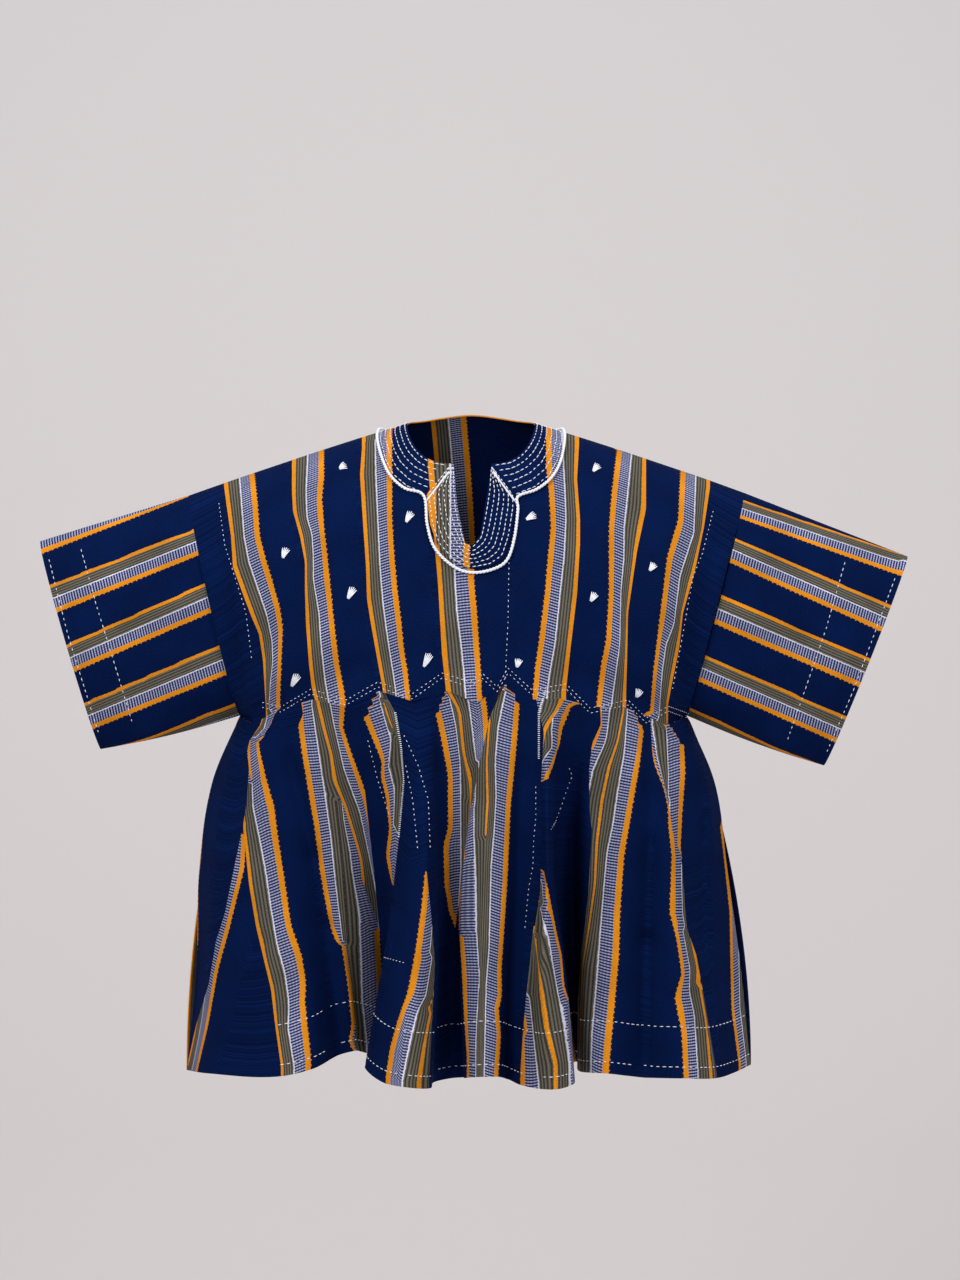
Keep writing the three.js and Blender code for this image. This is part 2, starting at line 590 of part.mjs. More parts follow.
const neckHole = neckHolePrism();
const slit = prism(SLIT, 'xz', -200, -40);
const touchesNeck = (i) => BODY_SEAMS[i].shoulder < NECK_HOLE.halfWidth && BODY_SEAMS[i + 1].shoulder > -NECK_HOLE.halfWidth;

for (const [label, half] of [['front', FRONT], ['back', BACK]]) {
  const grid = bodyGrid(half);
  const normals = bodyNormals(grid, half.side);
  for (let i = 0; i < BODY_SEAMS.length - 1; i += 1) {
    const c0 = i * STRIP_STEPS;
    const ends = { top: 'shoulder', bottom: 'waist' };
    let geometry = wallFromGrid(grid, normals, c0, c0 + STRIP_STEPS, ends);
    if (touchesNeck(i)) {
      let solid = toManifold(geometry).subtract(neckHole);
      if (half === FRONT) solid = solid.subtract(slit);
      geometry = fromManifold(solid);
    }
    add(`${label}_strip_${i + 1}`, geometry, NAVY);
  }
  if (half === FRONT) {
    const c0 = 3 * STRIP_STEPS + 1;
    const c1 = 6 * STRIP_STEPS - 1;
    const lifts = { outer: SEAM + WALL, inner: SEAM };
    const sheet = toManifold(wallFromGrid(grid, normals, c0, c1, lifts));
    const shape = prism(PLACKET, 'xz', -220, -40).subtract(slit);
    add('neck_placket', fromManifold(sheet.intersect(shape)), KHAKI);
  }
}

for (const [label, half, folds, seams] of [
  ['front', FRONT, FRONT_FOLDS, FRONT_SEAMS],
  ['back', BACK, BACK_FOLDS, BACK_SEAMS],
]) {
  const grid = skirtGrid(half, folds);
  const normals = skirtNormals(grid, half.side);
  for (let i = 0; i < seams.length - 1; i += 1) {
    const [c0, c1] = [seams[i] * FOLD_STEPS, seams[i + 1] * FOLD_STEPS];
    const geometry = wallFromGrid(grid, normals, c0, c1, { top: 'waist' });
    add(`${label}_gore_${i + 1}`, geometry, i % 2 ? KHAKI : NAVY);
  }
}

add('sleeve_right', sleeveGeometry(ARMS.right), NAVY);
add('sleeve_left', sleeveGeometry(ARMS.left), NAVY);
add('neck_cord', cordGeometry(neckCordPath()), WHITE);

export default smock;
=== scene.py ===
# A fugu smock of narrow hand-woven strips, hollow as it is worn: strips from shoulder to
# waist, a skirt of strips and godets in deep folds, two short open sleeves, a placket round
# the neck slit, and white hand sewing. Shapes are worked out in millimetres.
import math

import bpy
import numpy as np
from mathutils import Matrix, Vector
from mathutils.bvhtree import BVHTree


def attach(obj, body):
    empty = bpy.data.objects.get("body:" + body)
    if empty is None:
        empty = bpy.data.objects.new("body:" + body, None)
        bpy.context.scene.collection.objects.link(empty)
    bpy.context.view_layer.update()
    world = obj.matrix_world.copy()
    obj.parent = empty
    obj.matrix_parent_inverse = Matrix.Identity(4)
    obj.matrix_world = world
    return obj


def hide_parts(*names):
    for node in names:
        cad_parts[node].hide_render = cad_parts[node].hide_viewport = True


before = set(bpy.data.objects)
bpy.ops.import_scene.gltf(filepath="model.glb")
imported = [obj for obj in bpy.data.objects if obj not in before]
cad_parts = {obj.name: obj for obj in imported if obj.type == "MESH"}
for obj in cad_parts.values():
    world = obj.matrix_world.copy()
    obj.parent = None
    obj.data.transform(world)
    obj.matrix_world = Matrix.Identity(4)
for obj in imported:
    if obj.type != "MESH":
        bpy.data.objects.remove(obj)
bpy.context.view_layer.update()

# The viewer. The camera looks level at the front from 3.2 m, and its view is 960 by 1280.
# Seams and sewing are placed by where they show in that view, on the cloth behind it.
eye = np.array([9.9, -3200.0, -233.0])
HALF_WIDE, HALF_HIGH = 480, 640        # half the view, in pixels
mm_a_pixel = 1.1                       # at the plane of the shoulders


def put(name, data):
    """Adds an object to the scene."""
    made = bpy.data.objects.new(name, data)
    bpy.context.scene.collection.objects.link(made)
    return made


def seen(points):
    """Where points show in the view: pixels across and down."""
    scale = eye[1] / (eye[1] - points[..., 1]) / mm_a_pixel
    return (HALF_WIDE + (points[..., 0] - eye[0]) * scale,
            HALF_HIGH + (eye[2] - points[..., 2]) * scale)


camera_data = bpy.data.cameras.new("camera")
camera_data.sensor_fit = "VERTICAL"
camera_data.angle_y = 2 * math.atan(HALF_HIGH * mm_a_pixel / -eye[1])
camera = put("camera", camera_data)
camera.location = eye / 1000
camera.rotation_euler = (math.pi / 2, 0, 0)
bpy.context.scene.camera = camera

# The front's nine strips of hand-woven cotton, about 77 mm wide, sewn edge to edge from the
# shoulders to the waist. Each has one band of stripes by its edge and is navy beyond it.
WALL = 1.2                             # thickness of the cloth
STRIP = 77                             # width of a strip
FRONT = {"side": -1, "depth": 125, "drop": 270, "rise": 0}
BACK = {"side": 1, "depth": 118, "drop": 170, "rise": 18}
ARM_DEPTH, ARM_DROP = 58, 120          # half the armhole's depth, and the shoulder's fall there
ARM_LOW = -316                         # height of the armpits
RIGHT_ARM = {"sign": -1, "top": (310, -74), "bottom": (254, ARM_LOW),
             "cuff_top": (474, -124), "cuff_bottom": (407, -353)}
LEFT_ARM = {"sign": 1, "top": (300, -71), "bottom": (237, ARM_LOW),
            "cuff_top": (480, -141), "cuff_bottom": (388, -371)}
SHOULDER = np.array([-310, -270, -190, -114, -38, 40, 117, 188, 261, 300])
WAIST = np.array([-254, -236, -170, -97, -25, 37, 96, 167, 211, 237])
WAIST_Z = np.array([-316, -324, -297, -287, -287, -280, -295, -306, -325, -316])
WAIST_MIDDLE_Z = np.array([-320, -306, -303, -298, -299, -296, -304, -315, -321])
corner_at = np.arange(0, 9.1, 0.5)
corner_x = np.interp(corner_at, np.arange(10), WAIST)
corner_z = np.empty(19)
corner_z[0::2] = WAIST_Z
corner_z[1::2] = WAIST_MIDDLE_Z


def mix(a, b, t):
    return a + (b - a) * t


def unit(vectors):
    return vectors / np.maximum(np.linalg.norm(vectors, axis=-1, keepdims=True), 1e-9)


def by_side(x, end, axis):
    """A measure of the right arm's hole right of the middle, and of the left arm's elsewhere."""
    return np.where(x < 0, RIGHT_ARM[end][axis], LEFT_ARM[end][axis])


def shoulder_z(x):
    return 4 - 0.35 * (np.hypot(x, 60) - math.hypot(72, 60))


def half_width(x, z):
    top_x, top_z, low_x = by_side(x, "top", 0), by_side(x, "top", 1), by_side(x, "bottom", 0)
    down = (top_z - z) / (top_z - ARM_LOW)
    above = mix(top_x, low_x, np.maximum(down, 0))
    return np.where(down <= 1, above, low_x + 0.6 * (ARM_LOW - z))


def body_point(half, x, z):
    """The outer face of the front or back, x from the middle and at height z."""
    across = np.minimum(1, np.abs(x) / half_width(x, z)) ** 2
    middle = (by_side(x, "top", 1) + ARM_LOW) / 2
    past = np.clip((middle - z) / (middle - ARM_LOW), 0, 1)
    edge = ARM_DEPTH ** 2 * (1 - past ** 2)
    depth = np.sqrt(edge + (half["depth"] ** 2 - edge) * (1 - across))
    drop = np.clip((shoulder_z(x) - z) / mix(half["drop"], ARM_DROP, across), 0, 1)
    forward = depth * np.sqrt(1 - (1 - drop) ** 2)
    rise = half["rise"] * np.exp(-(x / 95) ** 2) * np.clip(forward / 45, 0, 1) * (1 - drop)
    return np.stack([x, half["side"] * forward, z + rise], axis=-1)


def armhole_point(arm, side, t):
    down = (1 - np.cos(np.pi * t)) / 2
    (top_x, top_z), (low_x, low_z) = arm["top"], arm["bottom"]
    x, z = arm["sign"] * mix(top_x, low_x, down), mix(top_z, low_z, down)
    return np.stack([x, side * ARM_DEPTH * np.sin(np.pi * t), z], axis=-1)


def body_surface(half, q, t):
    """The body at strip number q, 0 at one armhole to 9 at the other, and t down from the
    shoulder."""
    inner = np.clip(q, 1, 8)
    down = t ** 1.8
    shoulder = np.interp(inner, np.arange(10), SHOULDER)
    x = mix(shoulder, np.interp(inner, corner_at, corner_x), down)
    z = mix(shoulder_z(shoulder), np.interp(inner, corner_at, corner_z), down)
    cloth = body_point(half, x, z)
    right = np.clip(1 - q, 0, 1)[..., None]
    left = np.clip(q - 8, 0, 1)[..., None]
    cloth = mix(cloth, armhole_point(RIGHT_ARM, half["side"], t), right)
    return mix(cloth, armhole_point(LEFT_ARM, half["side"], t), left)


def crease(points, side, rows):
    """Lifts the cloth along soft ridges: the two ends in x and z, the width and the height."""
    lift = np.zeros(points.shape[:-1])
    place = points[..., [0, 2]]
    for x0, z0, x1, z1, width, height in rows:
        start, way = np.array([x0, z0]), np.array([x1 - x0, z1 - z0])
        along = ((place - start) @ way) / (way @ way)
        near = start + np.clip(along, 0, 1)[..., None] * way
        away = np.linalg.norm(place - near, axis=-1)
        lift += height * np.exp(-(away / width) ** 2)
    lifted = points.copy()
    lifted[..., 1] += side * lift
    return lifted


def outward(grid, toward):
    """Normals of a grid of points, turned to the side that toward gives."""
    normal = unit(np.cross(np.gradient(grid, axis=1), np.gradient(grid, axis=0)))
    return normal * np.where((normal * toward).sum(-1, keepdims=True) < 0, -1, 1)


def quads(a, b, c, d):
    return np.stack([a, b, c, d], axis=-1).reshape(-1, 4)


def mesh_of(name, points, faces):
    """A mesh from points in mm."""
    mesh = bpy.data.meshes.new(name)
    mesh.from_pydata((points / 1000).tolist(), [], faces)
    return mesh


def shell(name, grid, normal, across, along, ring=False):
    """A thin closed sheet on a grid of points, with its thread directions as a UV map."""
    rows, cols = grid.shape[:2]
    size = rows * cols
    points = np.concatenate([grid.reshape(-1, 3), (grid - normal * WALL).reshape(-1, 3)])
    uv = np.tile(np.stack([across, along], axis=-1).reshape(-1, 2), (2, 1))
    index = np.arange(size).reshape(rows, cols)
    rims = [index[0, ::-1], index[-1], index[:, 0], index[::-1, -1]]
    if ring:
        index = np.hstack([index, index[:, :1]])
        rims = [index[0, ::-1], index[-1]]
    a, b, c, d = index[:-1, :-1], index[:-1, 1:], index[1:, 1:], index[1:, :-1]
    faces = [quads(a, d, c, b), quads(a, b, c, d) + size]
    for rim in rims:
        faces.append(quads(rim[:-1], rim[1:], rim[1:] + size, rim[:-1] + size)[:, ::-1])
    faces = np.concatenate(faces)
    corner, right, below = (points[k.ravel()] for k in (a, b, d))
    if (np.cross(right - corner, below - corner) * normal.reshape(-1, 3)[a.ravel()]).sum() > 0:
        faces = faces[:, ::-1]
    mesh = mesh_of(name, points, faces.tolist())
    layer = mesh.uv_layers.new(name="threads")
    loops = np.empty(len(mesh.loops), dtype=np.int32)
    mesh.loops.foreach_get("vertex_index", loops)
    layer.data.foreach_set("uv", uv[loops].astype(np.float32).ravel())
    mesh.shade_smooth()
    mesh.set_sharp_from_angle(angle=math.radians(50))
    mesh.materials.append(cloth)
    piece = put(name, mesh)
    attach(piece, "root")
    return piece


def setting(target, values):
    for name, value in values.items():
        target.inputs[name].default_value = value


def material(name, **values):
    """A new material: itself, its node tree and its shader."""
    made = bpy.data.materials.new(name)
    made.use_nodes = True
    shader = made.node_tree.nodes["Principled BSDF"]
    setting(shader, values)
    return made, made.node_tree, shader


def node(kind, values=None, **choices):
    """A node of the tree at hand, with its choices and the values of its inputs."""
    made = tree.nodes.new(kind)
    for key, value in choices.items():
        setattr(made, key, value)
    setting(made, values or {})
    return made


def feed(slot, value):
    """Gives a socket a number, a colour or another socket."""
    if isinstance(value, tuple):
        slot.default_value = (*value, 1)
    elif isinstance(value, (int, float)):
        slot.default_value = value
    else:
        tree.links.new(value, slot)


def calc(operation, *inputs):
    """A maths node over sockets and numbers; gives its output."""
    made = node("ShaderNodeMath", operation=operation)
    for slot, value in zip(made.inputs, inputs):
        feed(slot, value)
    return made.outputs[0]


def times(a, b):
    return calc("MULTIPLY", a, b)


def plus(a, b):
    return calc("ADD", a, b)


def limited(value):
    return calc("MINIMUM", calc("MAXIMUM", value, 0.0), 1.0)


def wave(value, period):
    return calc("SINE", times(value, 2 * math.pi / period))


def blend(factor, a, b):
    """A colour between a and b, each a socket or a colour."""
    made = node("ShaderNodeMix", data_type="RGBA")
    for k, value in ((0, factor), (6, a), (7, b)):
        feed(made.inputs[k], value)
    return made.outputs[2]


def speckle(u, v, across, along, detail=2.0):
    """Noise drawn out along the threads; across and along are the grain's sizes in mm."""
    place = node("ShaderNodeCombineXYZ")
    feed(place.inputs[0], calc("DIVIDE", u, across))
    feed(place.inputs[1], calc("DIVIDE", v, along))
    noise = node("ShaderNodeTexNoise", {"Scale": 1.0, "Detail": detail}, noise_dimensions="2D")
    feed(noise.inputs["Vector"], place.outputs[0])
    return noise.outputs["Fac"]


def raised(height, strength, distance):
    """Gives the shader at hand a relief."""
    relief = node("ShaderNodeBump", {"Strength": strength, "Distance": distance})
    feed(relief.inputs["Height"], height)
    feed(shader.inputs["Normal"], relief.outputs[0])


NAVY, NAVY_LIT = (0.0005, 0.0052, 0.036), (0.0012, 0.0115, 0.070)
ORANGE, ORANGE_LIT = (0.58, 0.185, 0.003), (0.76, 0.31, 0.02)
KHAKI, KHAKI_DARK = (0.168, 0.150, 0.110), (0.024, 0.023, 0.022)
WHITE, CHECK_WHITE, CHECK_BLUE = (0.60, 0.60, 0.70), (0.44, 0.45, 0.58), (0.010, 0.016, 0.085)
cloth, tree, shader = material("strip_cloth", **{"Roughness": 0.9, "Specular IOR Level": 0.04})
threads = node("ShaderNodeUVMap", uv_map="threads")
split = node("ShaderNodeSeparateXYZ")
feed(split.inputs[0], threads.outputs[0])
u, v = split.outputs[0], split.outputs[1]
wander = times(calc("SUBTRACT", speckle(u, v, 3, 3), 0.5), 1.3)
place = calc("MODULO", plus(u, wander), float(STRIP))
grain = speckle(u, v, 0.9, 1.1, 3)
slub = speckle(u, v, 14, 1.2)
worn = speckle(u, v, 45, 60)
fleck = limited(times(calc("SUBTRACT", grain, 0.42), 3.2))
navy = blend(fleck, NAVY, NAVY_LIT)
orange = blend(fleck, ORANGE, ORANGE_LIT)
lines = plus(times(wave(u, 3.6), 0.42), times(grain, 0.9))
khaki = blend(limited(lines), KHAKI_DARK, KHAKI)
bars = limited(plus(times(wave(v, 3.1), 0.9), times(slub, 0.55)))
bars = times(bars, plus(times(wave(place, 3.3), 0.25), 0.75))
dashes = blend(bars, CHECK_BLUE, CHECK_WHITE)
# Small stitches tick over the orange edge into the navy, about every 6 mm.
tick = calc("GREATER_THAN", wave(v, 5.6), 0.7)
colour = orange
for start, band in ((5.0, khaki), (19.2, WHITE), (20.6, dashes), (33.8, orange), (39.8, navy)):
    reach = calc("SUBTRACT", place, tick) if band is navy else place
    colour = blend(calc("GREATER_THAN", reach, start), colour, band)
dull = node("ShaderNodeVectorMath", operation="SCALE")
feed(dull.inputs[0], colour)
feed(dull.inputs["Scale"], plus(plus(times(slub, 0.1), times(worn, 0.6)), 0.65))
feed(shader.inputs["Base Color"], dull.outputs[0])
raised(plus(grain, times(slub, 0.25)), 0.35, 0.0012)

# Creases: their two ends in x and z, the width and the height.
FRONT_CREASES = [
    (-250, -290, -150, -230, 16, 4), (-240, -320, -120, -262, 12, -4),
    (-215, -200, -165, -120, 18, 4), (235, -300, 150, -240, 16, 4),
    (215, -318, 110, -270, 12, -4), (205, -200, 160, -125, 18, 4),
    (-60, -290, -40, -215, 14, 3), (40, -290, 62, -210, 14, -3), (0, -280, 10, -190, 20, 3),
    (-120, -150, -95, -255, 16, -3), (118, -150, 96, -255, 16, 3),
    (-286, -150, -262, -290, 10, 4), (272, -150, 248, -290, 10, 4),
]
FINE = 24                              # columns worked out from one seam or fold to the next
BODY_ROWS, SKIRT_ROWS = 66, 64
NAVY_MIDDLE = 58                       # mm across a strip, well inside its navy half
THIN = 2.6                             # where an edge is turned in, so that its orange is thin
CUT = 0.4                              # half the width of a cut in the band
SPARE = 7                              # how far a piece reaches past its first and last row
BELOW = 2000                           # a row below the whole smock
HEM = 1030                             # a line that reaches this row runs on to the hem
LEFT, RIGHT = ("left", 0, BELOW), ("right", 0, BELOW)


def run(line):
    """How far along a line of points each of them lies."""
    return np.concatenate([[0], np.cumsum(np.linalg.norm(np.diff(line, axis=0), axis=1))])


def row_length(grid):
    """Distance along each row of a grid, from its first column, in mm."""
    steps = np.linalg.norm(np.diff(grid, axis=1), axis=-1)
    return np.hstack([np.zeros((len(grid), 1)), np.cumsum(steps, axis=1)])


def declare_cut(piece, held, **more):
    """Works out a piece's cut size and, as cloth keeps its area, its face area held within that
    size; keeps neither.
    """
    width, length = piece["cut"]
    whole = width * length / 1e6
    area = sum(face.area for face in piece.data.polygons) / 2
    area = min(max(area, 0.31 * whole), whole)


def columns(table, at):
    """Values of a table of fine columns at fold numbers, row by row."""
    place = np.clip(at * FINE, 0, table.shape[1] - 1.001)
    low = np.floor(place).astype(int)
    part = (place - low)[..., None]
    rows = np.arange(len(table))[:, None]
    return table[rows, low] * (1 - part) + table[rows, low + 1] * part


def crossing(off, y, inside=True):
    """Where a row of cloth crosses a line, in columns, at the crossing nearest the viewer."""
    hits = np.nonzero((np.sign(off[:-1]) != np.sign(off[1:])) & inside)[0]
    if len(hits) == 0:
        return None
    hit = hits[np.argmin(y[hits])]
    return hit + off[hit] / (off[hit] - off[hit + 1])


def line_folds(grid, low, high, line):
    """Fold numbers, row by row, where a line in the view crosses the cloth."""
    line = np.array(line, float)
    first, last = int(low * FINE), int(high * FINE)
    across, down = seen(grid[:, first:last + 1])
    off = across - np.interp(down, line[:, 1], line[:, 0])
    found = np.empty(len(grid))
    for r, row in enumerate(off):
        spot = crossing(row, grid[r, first:, 1])
        found[r] = (first + (np.argmin(np.abs(row)) if spot is None else spot)) / FINE
    return found


def spread(distance, known, turn=1):
    """Values between the known places of a row, running on by 1 a mm beyond them."""
    where, value = np.array(sorted(known.items())).T
    found = np.interp(distance, where, value)
    for end, beyond in ((0, distance < where[0]), (-1, distance > where[-1])):
        found = np.where(beyond, value[end] + turn * (distance - where[end]), found)
    return found


def cloth_piece(name, grid, normals, left, right, kind, nodes, lines, begin=0, end=BELOW):
    """A piece of cloth between two seams, given as fold numbers a row. Its band runs through
    lines: each a distance across the strip, or the two sides of a cut, and where it shows."""
    width = row_length(grid)[:, -1].max() * (right - left).max() / (grid.shape[1] / FINE)
    cols = int(np.clip(width / 2.8, 8, 80))
    share = np.linspace(0, 1, cols)
    at = left[:, None] + np.maximum(right - left, 0.002)[:, None] * share
    points, normal = columns(grid, at), columns(normals, at)
    distance = columns(row_length(grid)[..., None], at)[..., 0]
    down = seen(points)[1].mean(axis=1)
    keep = np.nonzero((down >= begin - SPARE) & (down <= end + SPARE))[0]
    turn = 1 if kind == "plain" else -1
    across = np.empty(at.shape)
    for r in keep:
        known = {}
        px, py = seen(points[r])
        for value, line in lines:
            if line[0] in ("left", "right"):
                side = 0 if line[0] == "left" else -1
                if line[1] <= py[side] <= line[2]:
                    known[distance[r, side]] = value
                continue
            line = np.array(line, float)
            inside = (py >= line[0, 1]) & ((py <= line[-1, 1]) | (line[-1, 1] > HEM))
            if not inside.any():
                continue
            off = px - np.interp(py, line[:, 1], line[:, 0])
            spot = crossing(off, points[r, :, 1], inside[:-1])
            if spot is not None:
                spot = np.interp(spot, np.arange(cols), distance[r])
                if isinstance(value, tuple):
                    known[spot - CUT], known[spot + CUT] = value
                else:
                    known[spot] = value
            elif isinstance(value, tuple):
                continue
            elif off[-1] < 0:
                known[distance[r, -1] - off[-1] * mm_a_pixel] = value
            elif off[0] > 0:
                known[distance[r, 0] - off[0] * mm_a_pixel] = value
        across[r] = spread(distance[r], known, turn) if known else NAVY_MIDDLE
    edge = min([THIN] + [value for value, line in lines if not isinstance(value, tuple)])
    across = np.minimum(edge + np.abs(across - edge), STRIP - 1)
    points, normal, across = points[keep], normal[keep], across[keep]
    along = row_length(points.swapaxes(0, 1)).T
    piece = shell(name, points, normal, across, along)
    for number in nodes:
        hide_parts(number)
    piece["cut"] = (row_length(points)[:, -1].max(), along.max())
    return piece


# Seams between the front strips: the strips that each lies between, and where it shows.
BODY_SEAMS = [
    (0, 0.01, [(197, 500), (240, 700)]),
    (0.7, 1.6, [(224, 486), (231, 536), (233, 567), (244, 597), (252, 618), (259, 634), (263, 660),
        (266, 709)]),
    (1.5, 2.5, [(292, 464), (292, 491), (293, 511), (300, 536), (305, 562), (305, 593), (306, 624),
        (309, 664), (312, 689), (317, 707)]),
    (2.5, 3.5, [(362, 448), (360, 475), (363, 522), (366, 566), (367, 599), (371, 624), (376, 652),
        (383, 690)]),
    (3.5, 4.5, [(428, 466), (436, 560), (438, 583), (440, 618), (442, 654), (446, 690)]),
    (4.5, 5.5, [(511, 460), (509, 566), (509, 597), (507, 640), (505, 684)]),
    (5.5, 6.5, [(579, 445), (577, 479), (580, 518), (580, 544), (577, 594), (571, 644),
        (566, 690)]),
    (6.5, 7.5, [(646, 466), (646, 509), (637, 551), (628, 613), (627, 660), (626, 697)]),
    (7.4, 8.5, [(710, 487), (704, 527), (695, 570), (683, 613), (679, 649), (672, 683),
        (668, 705)]),
    (8.99, 9, [(745, 500), (690, 700)]),
]
LINE, GOLD, GOLD_OUT = 19.9, 36.8, 39.8    # the white line, the wide orange and its outer edge
BODY_BANDS = [
    ("plain", []),
    ("plain", [
        (0, LEFT),
        (LINE, [(239, 470), (242, 509), (244, 536), (249, 562), (256, 583), (267, 615), (272, 640),
            (273, 660), (270, 685), (268, 715)]),
        (GOLD, [(251, 470), (255, 507), (257, 538), (263, 560), (270, 583), (277, 609), (280, 630),
            (279, 656), (278, 685), (278, 715)]),
    ]),
    ("plain", [
        (0, LEFT),
        (LINE, [(308, 450), (306, 491), (307, 518), (312, 534), (313, 552), (313, 579), (319, 613),
            (321, 644), (325, 681), (331, 715)]),
        (GOLD, [(321, 450), (321, 479), (319, 499), (321, 528), (324, 554), (327, 583), (330, 613),
            (333, 640), (336, 664), (341, 689), (344, 715)]),
    ]),
    ("plain", [
        (0, LEFT),
        (LINE, [(375, 440), (376, 477), (378, 522), (380, 566), (383, 603), (387, 634), (391, 660),
            (395, 685), (398, 715)]),
        (GOLD, [(389, 430), (389, 481), (389, 518), (391, 554), (394, 587), (398, 620), (401, 650),
            (405, 673), (409, 715)]),
    ]),
    ("plain", [
        (0, LEFT), (LINE, [(449, 430), (455, 581), (457, 613), (461, 644), (464, 673), (467, 715)]),
        (GOLD, [(468, 430), (471, 581), (474, 613), (476, 644), (478, 671), (480, 715)]),
    ]),
    ("turned", [
        (0, RIGHT),
        (LINE, [(562, 430), (565, 491), (566, 518), (564, 558), (560, 593), (555, 644), (549, 676),
            (545, 715)]),
        (GOLD, [(549, 425), (549, 465), (552, 491), (554, 528), (551, 558), (548, 594), (542, 642),
            (538, 670), (534, 715)]),
    ]),
    ("turned", [
        (0, RIGHT),
        (LINE, [(632, 450), (627, 499), (624, 528), (624, 558), (621, 590), (620, 644), (615, 680),
            (610, 715)]),
        (GOLD, [(620, 450), (615, 491), (612, 528), (612, 558), (612, 594), (609, 642), (604, 666),
            (598, 715)]),
    ]),
    ("turned", [
        (0, RIGHT),
        (LINE, [(696, 470), (694, 533), (680, 576), (674, 625), (666, 644), (662, 672),
            (659, 715)]),
        (GOLD, [(684, 460), (681, 521), (670, 558), (664, 607), (659, 646), (656, 670),
            (652, 715)]),
    ]),
    ("plain", []),
]


def body_table(half, creases):
    """The body's points and normals, by rows down and fine columns a strip."""
    q, t = np.meshgrid(np.arange(0, 9 + 1e-9, 1 / FINE), np.linspace(0, 1, BODY_ROWS))
    grid = body_surface(half, q, t)
    grid = mix(grid, crease(grid, half["side"], creases), np.clip(t * 8, 0, 1)[..., None])
    toward = np.stack([grid[..., 0] * 0.2, grid[..., 1], 60 + grid[..., 2] * 0.2], axis=-1)
    return grid, outward(grid, toward)


def body_strip(side, body, seams, i, kind, lines):
    strip = f"{side}_strip_{i + 1}"
    return cloth_piece(f"{strip}_cloth", *body, seams[i], seams[i + 1], kind, [strip], lines)


front_body = body_table(FRONT, FRONT_CREASES)
body_seams = [line_folds(front_body[0], *seam) for seam in BODY_SEAMS]
front_strips = [body_strip("front", front_body, body_seams, i, kind, lines)
                for i, (kind, lines) in enumerate(BODY_BANDS)]

# The back's nine strips, of the same cloth, cut and sewn like the front's. Their seams meet
# the front's at the shoulder and run down to even shares of the waist.
BACK_CREASES = [
    (-250, -290, -150, -235, 18, 4), (-215, -190, -160, -120, 18, 4), (235, -300, 150, -245, 18, 4),
    (205, -190, 160, -120, 18, 4), (-40, -285, -60, -180, 18, -3), (62, -290, 40, -190, 18, 3),
    (-286, -150, -262, -290, 10, 4), (272, -150, 248, -290, 10, 4), (-120, -40, 120, -46, 18, 3),
]
BACK_BANDS = ["plain"] * 5 + ["turned"] * 4
back_body = body_table(BACK, BACK_CREASES)
settled = np.linspace(0, 1, BODY_ROWS)
back_body_seams = [mix(seam[0], i, settled) for i, seam in enumerate(body_seams)]
back_strips = [body_strip("back", back_body, back_body_seams, i, kind,
                          [] if i in (0, 8) else [(0, LEFT if kind == "plain" else RIGHT)])
               for i, kind in enumerate(BACK_BANDS)]

# The front skirt: strips that run on from the body and godets cut on the slant, sewn edge
# to edge into the waist seam and gathered in deep folds, from the wearer's right.
LEVELS = (387, 486, 596)               # below the neck
FRONT_FOLDS = np.array([
    # a fold's x at the waist, at the levels and at the hem, the hem's height, and how far
    # out the hem stands
    (-254, -284, -299, -302, -313, -706, 0), (-246, -261, -273, -277, -282, -701, 60),
    (-236, -240, -240, -218, -204, -697, 108), (-217, -221, -203, -178, -169, -688, 118),
    (-197, -185, -169, -151, -140, -679, 72), (-183, -173, -158, -133, -124, -676, 62),
    (-170, -147, -137, -128, -118, -679, 48), (-150, -134, -118, -104, -101, -690, 12),
    (-133, -114, -104, -95, -95, -695, -8), (-111, -92, -87, -86, -90, -696, 50),
    (-97, -73, -80, -97, -113, -688, 98), (-80, -62, -64, -77, -90, -698, 148),
    (-61, -51, -47, -58, -65, -700, 165), (-45, -41, -38, -38, -44, -706, 132),
    (-35, -32, -31, -32, -37, -709, 62), (-25, -17, -19, -21, -20, -708, 46),
    (7, -1, -7, -8, -4, -705, 60), (22, 5, -9, -11, -7, -701, 92),
    (37, 18, 16, 11, 9, -696, 118), (46, 42, 37, 31, 29, -697, 110),
    (57, 54, 49, 44, 41, -704, 84), (70, 72, 73, 63, 53, -706, 108),
    (81, 80, 81, 76, 89, -703, 158), (89, 87, 87, 99, 109, -702, 126),
    (96, 95, 93, 101, 103, -700, 30), (113, 113, 109, 113, 116, -699, -15),
    (138, 126, 124, 119, 116, -698, 58), (160, 141, 134, 124, 121, -696, 84),
    (177, 176, 159, 153, 144, -692, 120), (191, 194, 191, 188, 186, -700, 95),
    (201, 207, 214, 221, 226, -698, 115), (211, 225, 230, 244, 263, -703, 80),
    (224, 249, 257, 270, 285, -703, 42), (237, 268, 283, 298, 308, -700, 0),
]).T


def smooth(stations, values, at):
    """A smooth curve through uneven stations, at several places."""
    stations, values = np.asarray(stations, float), np.asarray(values, float)
    slope = np.diff(values) / np.diff(stations)
    tangent = np.concatenate([[slope[0]], (slope[1:] + slope[:-1]) / 2, [slope[-1]]])
    i = np.clip(np.searchsorted(stations, at) - 1, 0, len(stations) - 2)
    span = stations[i + 1] - stations[i]
    t = np.clip((at - stations[i]) / span, 0, 1)
    a, b = tangent[i] * span, tangent[i + 1] * span
    t2, t3 = t * t, t ** 3
    return ((2 * t3 - 3 * t2 + 1) * values[i] + (t3 - 2 * t2 + t) * a
            + (3 * t2 - 2 * t3) * values[i + 1] + (t3 - t2) * b)


